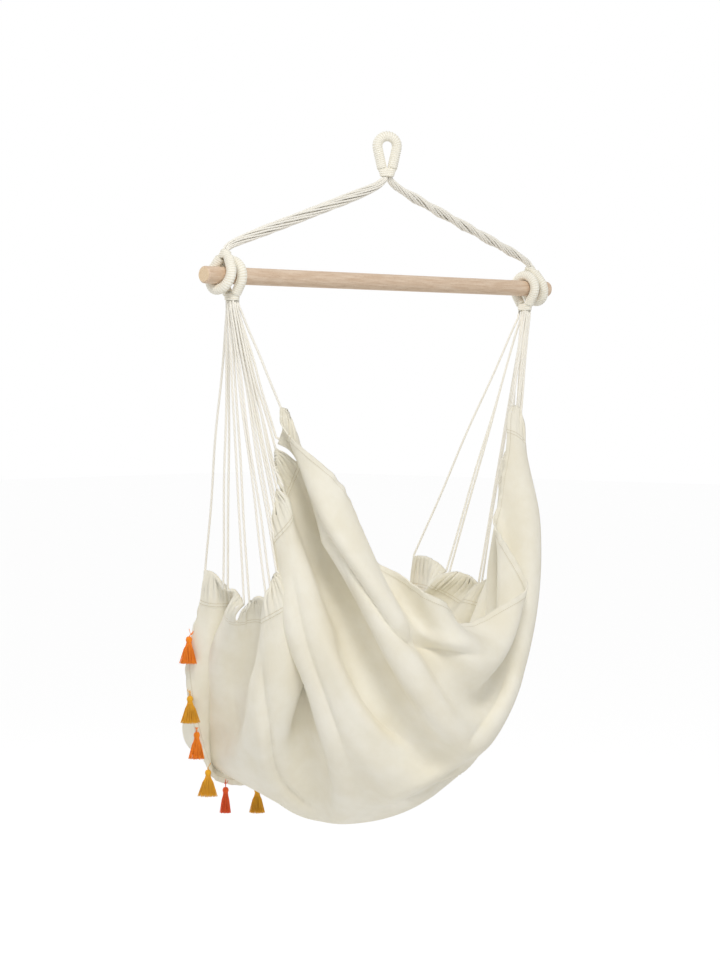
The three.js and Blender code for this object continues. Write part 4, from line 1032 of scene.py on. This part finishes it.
def tie_and_knot(anchor, way):
    """Two strands twisted together, whose ends stand out of a knot under the hem."""
    side = unit(np.cross(way, (0.3, 1, 0.1)))
    other = unit(np.cross(way, side))
    share = np.linspace(0, 1, 14)[:, None]
    knot = anchor + way * TIE_KNOT_AT
    parts = []
    for hand in (-1, 1):
        coil = np.concatenate([np.cos(5 * math.pi * share), np.sin(5 * math.pi * share)], 1) * hand * TIE_COIL
        route = anchor + way * share + side * coil[:, :1] + other * coil[:, 1:]
        parts.append(skin(tube(route, TIE_STRAND, 6)))
        bow = knot + side * hand * KNOT_BOW + (0, 0, KNOT_LIFT)
        tip = knot + (side * hand * 0.8 + (0, 0, 0.9)) * KNOT_END
        parts.append(skin(tube(smooth_route([knot, bow, tip], 8), KNOT_STRAND, 6)))
    return parts


def head_and_neck(head_top):
    """The folded yarn of the head, and the thread wound round its neck."""
    share = np.linspace(0, 1, 9)
    ball = HEAD_RADIUS * np.sqrt(np.clip(1 - (2 * share - 1) ** 2 * 0.72, 0, 1))
    parts = [skin(tube(head_top + DOWN * (share * HEAD)[:, None], ball, 54, head_folds))]
    angles = np.linspace(0, 2 * math.pi, 25)
    circle = np.stack([np.cos(angles), np.sin(angles), 0 * angles], 1) * (SKIRT_TOP_RADIUS - 0.0006)
    for wrap in range(NECK_WRAPS):
        level = head_top + DOWN * (HEAD * 0.9 + NECK_WRAP_PITCH * wrap)
        parts.append(skin(tube(level + circle, TIE_STRAND, 6), closed=False))
    return parts


def skirt_threads(head_top, flare, outwards, more):
    """Threads that fall in a bell, wider by more on the tassel's free side."""
    share = np.linspace(0, 1, 7)[:, None]
    bell = 0.55 * smooth(share / 0.5) * (share < 0.5) + (share >= 0.5) * (0.55 + 0.45 * (share * 2 - 1))
    parts = []
    for thread in range(THREADS):
        spread = math.sqrt((thread + 0.5) / THREADS)
        turn = thread * GOLDEN_TURN + rng.normal(0, 0.05)
        way_out = np.array([math.cos(turn), math.sin(turn), 0])
        top = head_top + DOWN * HEAD * 0.93 + way_out * SKIRT_ROOT * spread
        wider = more * float(smooth((way_out @ outwards + 0.5) / 0.9))
        end_radius = (flare + wider - 0.0008) * spread * (1 + rng.normal(0, 0.02))
        fall = SKIRT * (0.985 - 0.03 * rng.random())
        sway = np.cross(way_out, DOWN) * np.sin(share * 3 + thread) * THREAD_SWAY
        route = top + DOWN * fall * share + way_out * (end_radius - SKIRT_ROOT * spread) * bell + sway
        parts.append(skin(tube(route, THREAD_RADIUS, 5)))
    return parts


for number in range(TASSELS):
    from_corner = min(number, TASSELS - 1 - number)
    node = f"tassel_{number + 1:02d}"
    low, high = map(np.array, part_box(node))
    points = node_points(node)
    skirt = points[points[:, 2] < low[2] + 0.002]
    middle = (skirt.min(0) + skirt.max(0)) / 2
    flare = (skirt.max(0) - skirt.min(0))[:2].max() / 2
    anchor = points[points[:, 2] > high[2] - 1e-4].mean(0)
    head_top = np.array([middle[0], middle[1], low[2] + HEAD + SKIRT])
    near = cloth_place[np.abs(cloth_place[:, 2] - middle[2] - SKIRT / 3) < 0.03]
    nearest = near[np.linalg.norm(near[:, :2] - middle[:2], axis=1).argmin()]
    outwards = unit(np.array([*(middle - nearest)[:2], 0]))
    more = min(WIDER if from_corner < WIDE_TASSELS else BIT_WIDER, SKIRT_WIDEST - flare)
    parts = (tie_and_knot(anchor, head_top - anchor) + head_and_neck(head_top)
             + skirt_threads(head_top, flare, outwards, more))
    add_piece(f"thread_{node}", joined(parts), node, YARNS[from_corner], node)


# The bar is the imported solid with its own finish

bar = frame["nodes"]["spreader_bar"]
bar.data.materials.clear()
bar.data.materials.append(materials["beech"])


# Floor, backdrop and light

FLOOR_LEVEL, FLOOR_REACH, FLOOR_TONE = -1.95, 30, 0.92
FLOOR_GLOW, GLOW_SHARE = 1.18, 0.7
AIR_LIGHT = 0.52
WHITE = (1, 1, 1, 1)
LAMP_TARGET = (0, -0.1, -0.9)


def seen_or_mirrored(tree):
    """1 for what the camera sees directly, mirrored or through something clear."""
    kinds = [tree.nodes.new("ShaderNodeLightPath").outputs[f"Is {kind} Ray"]
             for kind in ("Camera", "Glossy", "Transmission")]
    camera_ray, glossy, clear = (Wire(tree, socket) for socket in kinds)
    return camera_ray.most(glossy).most(clear)


def plain_backdrop(name):
    """Pale, and plain white where it is seen; it keeps shadows."""
    material, shader, wire = finish(name, 0.9, Base_Color=(FLOOR_TONE, FLOOR_TONE, FLOOR_TONE, 1))
    tree = material.node_tree
    glow = wire.node("Emission", inputs={"Color": WHITE, "Strength": FLOOR_GLOW})
    share = seen_or_mirrored(tree) * GLOW_SHARE
    mixed = wire.node("MixShader", inputs={0: share, 1: Wire(tree, shader.outputs[0]), 2: glow})
    tree.links.new(mixed.socket, tree.nodes["Material Output"].inputs[0])
    return material


floor_corners = [(x * FLOOR_REACH, y * FLOOR_REACH, FLOOR_LEVEL) for x, y in ((-1, -1), (1, -1), (1, 1), (-1, 1))]
floor_mesh = bpy.data.meshes.new("floor")
floor_mesh.from_pydata(floor_corners, [], [(0, 1, 2, 3)])
floor = bpy.data.objects.new("floor", floor_mesh)
floor_mesh.materials.append(plain_backdrop("pale_floor"))
bpy.context.scene.collection.objects.link(floor)

world = bpy.data.worlds.new("studio")
bpy.context.scene.world = world
world.use_nodes = True
background = world.node_tree.nodes["Background"]
background.inputs["Color"].default_value = WHITE
strength = AIR_LIGHT + (1 - AIR_LIGHT) * seen_or_mirrored(world.node_tree)
world.node_tree.links.new(strength.socket, background.inputs["Strength"])


def add_light(name, place, size, power, colour=(1, 1, 1)):
    light = bpy.data.lights.new(name, "AREA")
    light.energy, light.size, light.color = power, size, colour
    lamp = bpy.data.objects.new(name, light)
    lamp.location = place
    lamp.rotation_euler = (Vector(LAMP_TARGET) - Vector(place)).to_track_quat("-Z", "Y").to_euler()
    bpy.context.scene.collection.objects.link(lamp)


add_light("key", (3.0, 3.4, 3.0), 1.5, 146, (1.0, 0.985, 0.96))
add_light("fill", (0.8, -4.2, 0.9), 2.6, 62)

bpy.context.scene.view_settings.view_transform = "Standard"
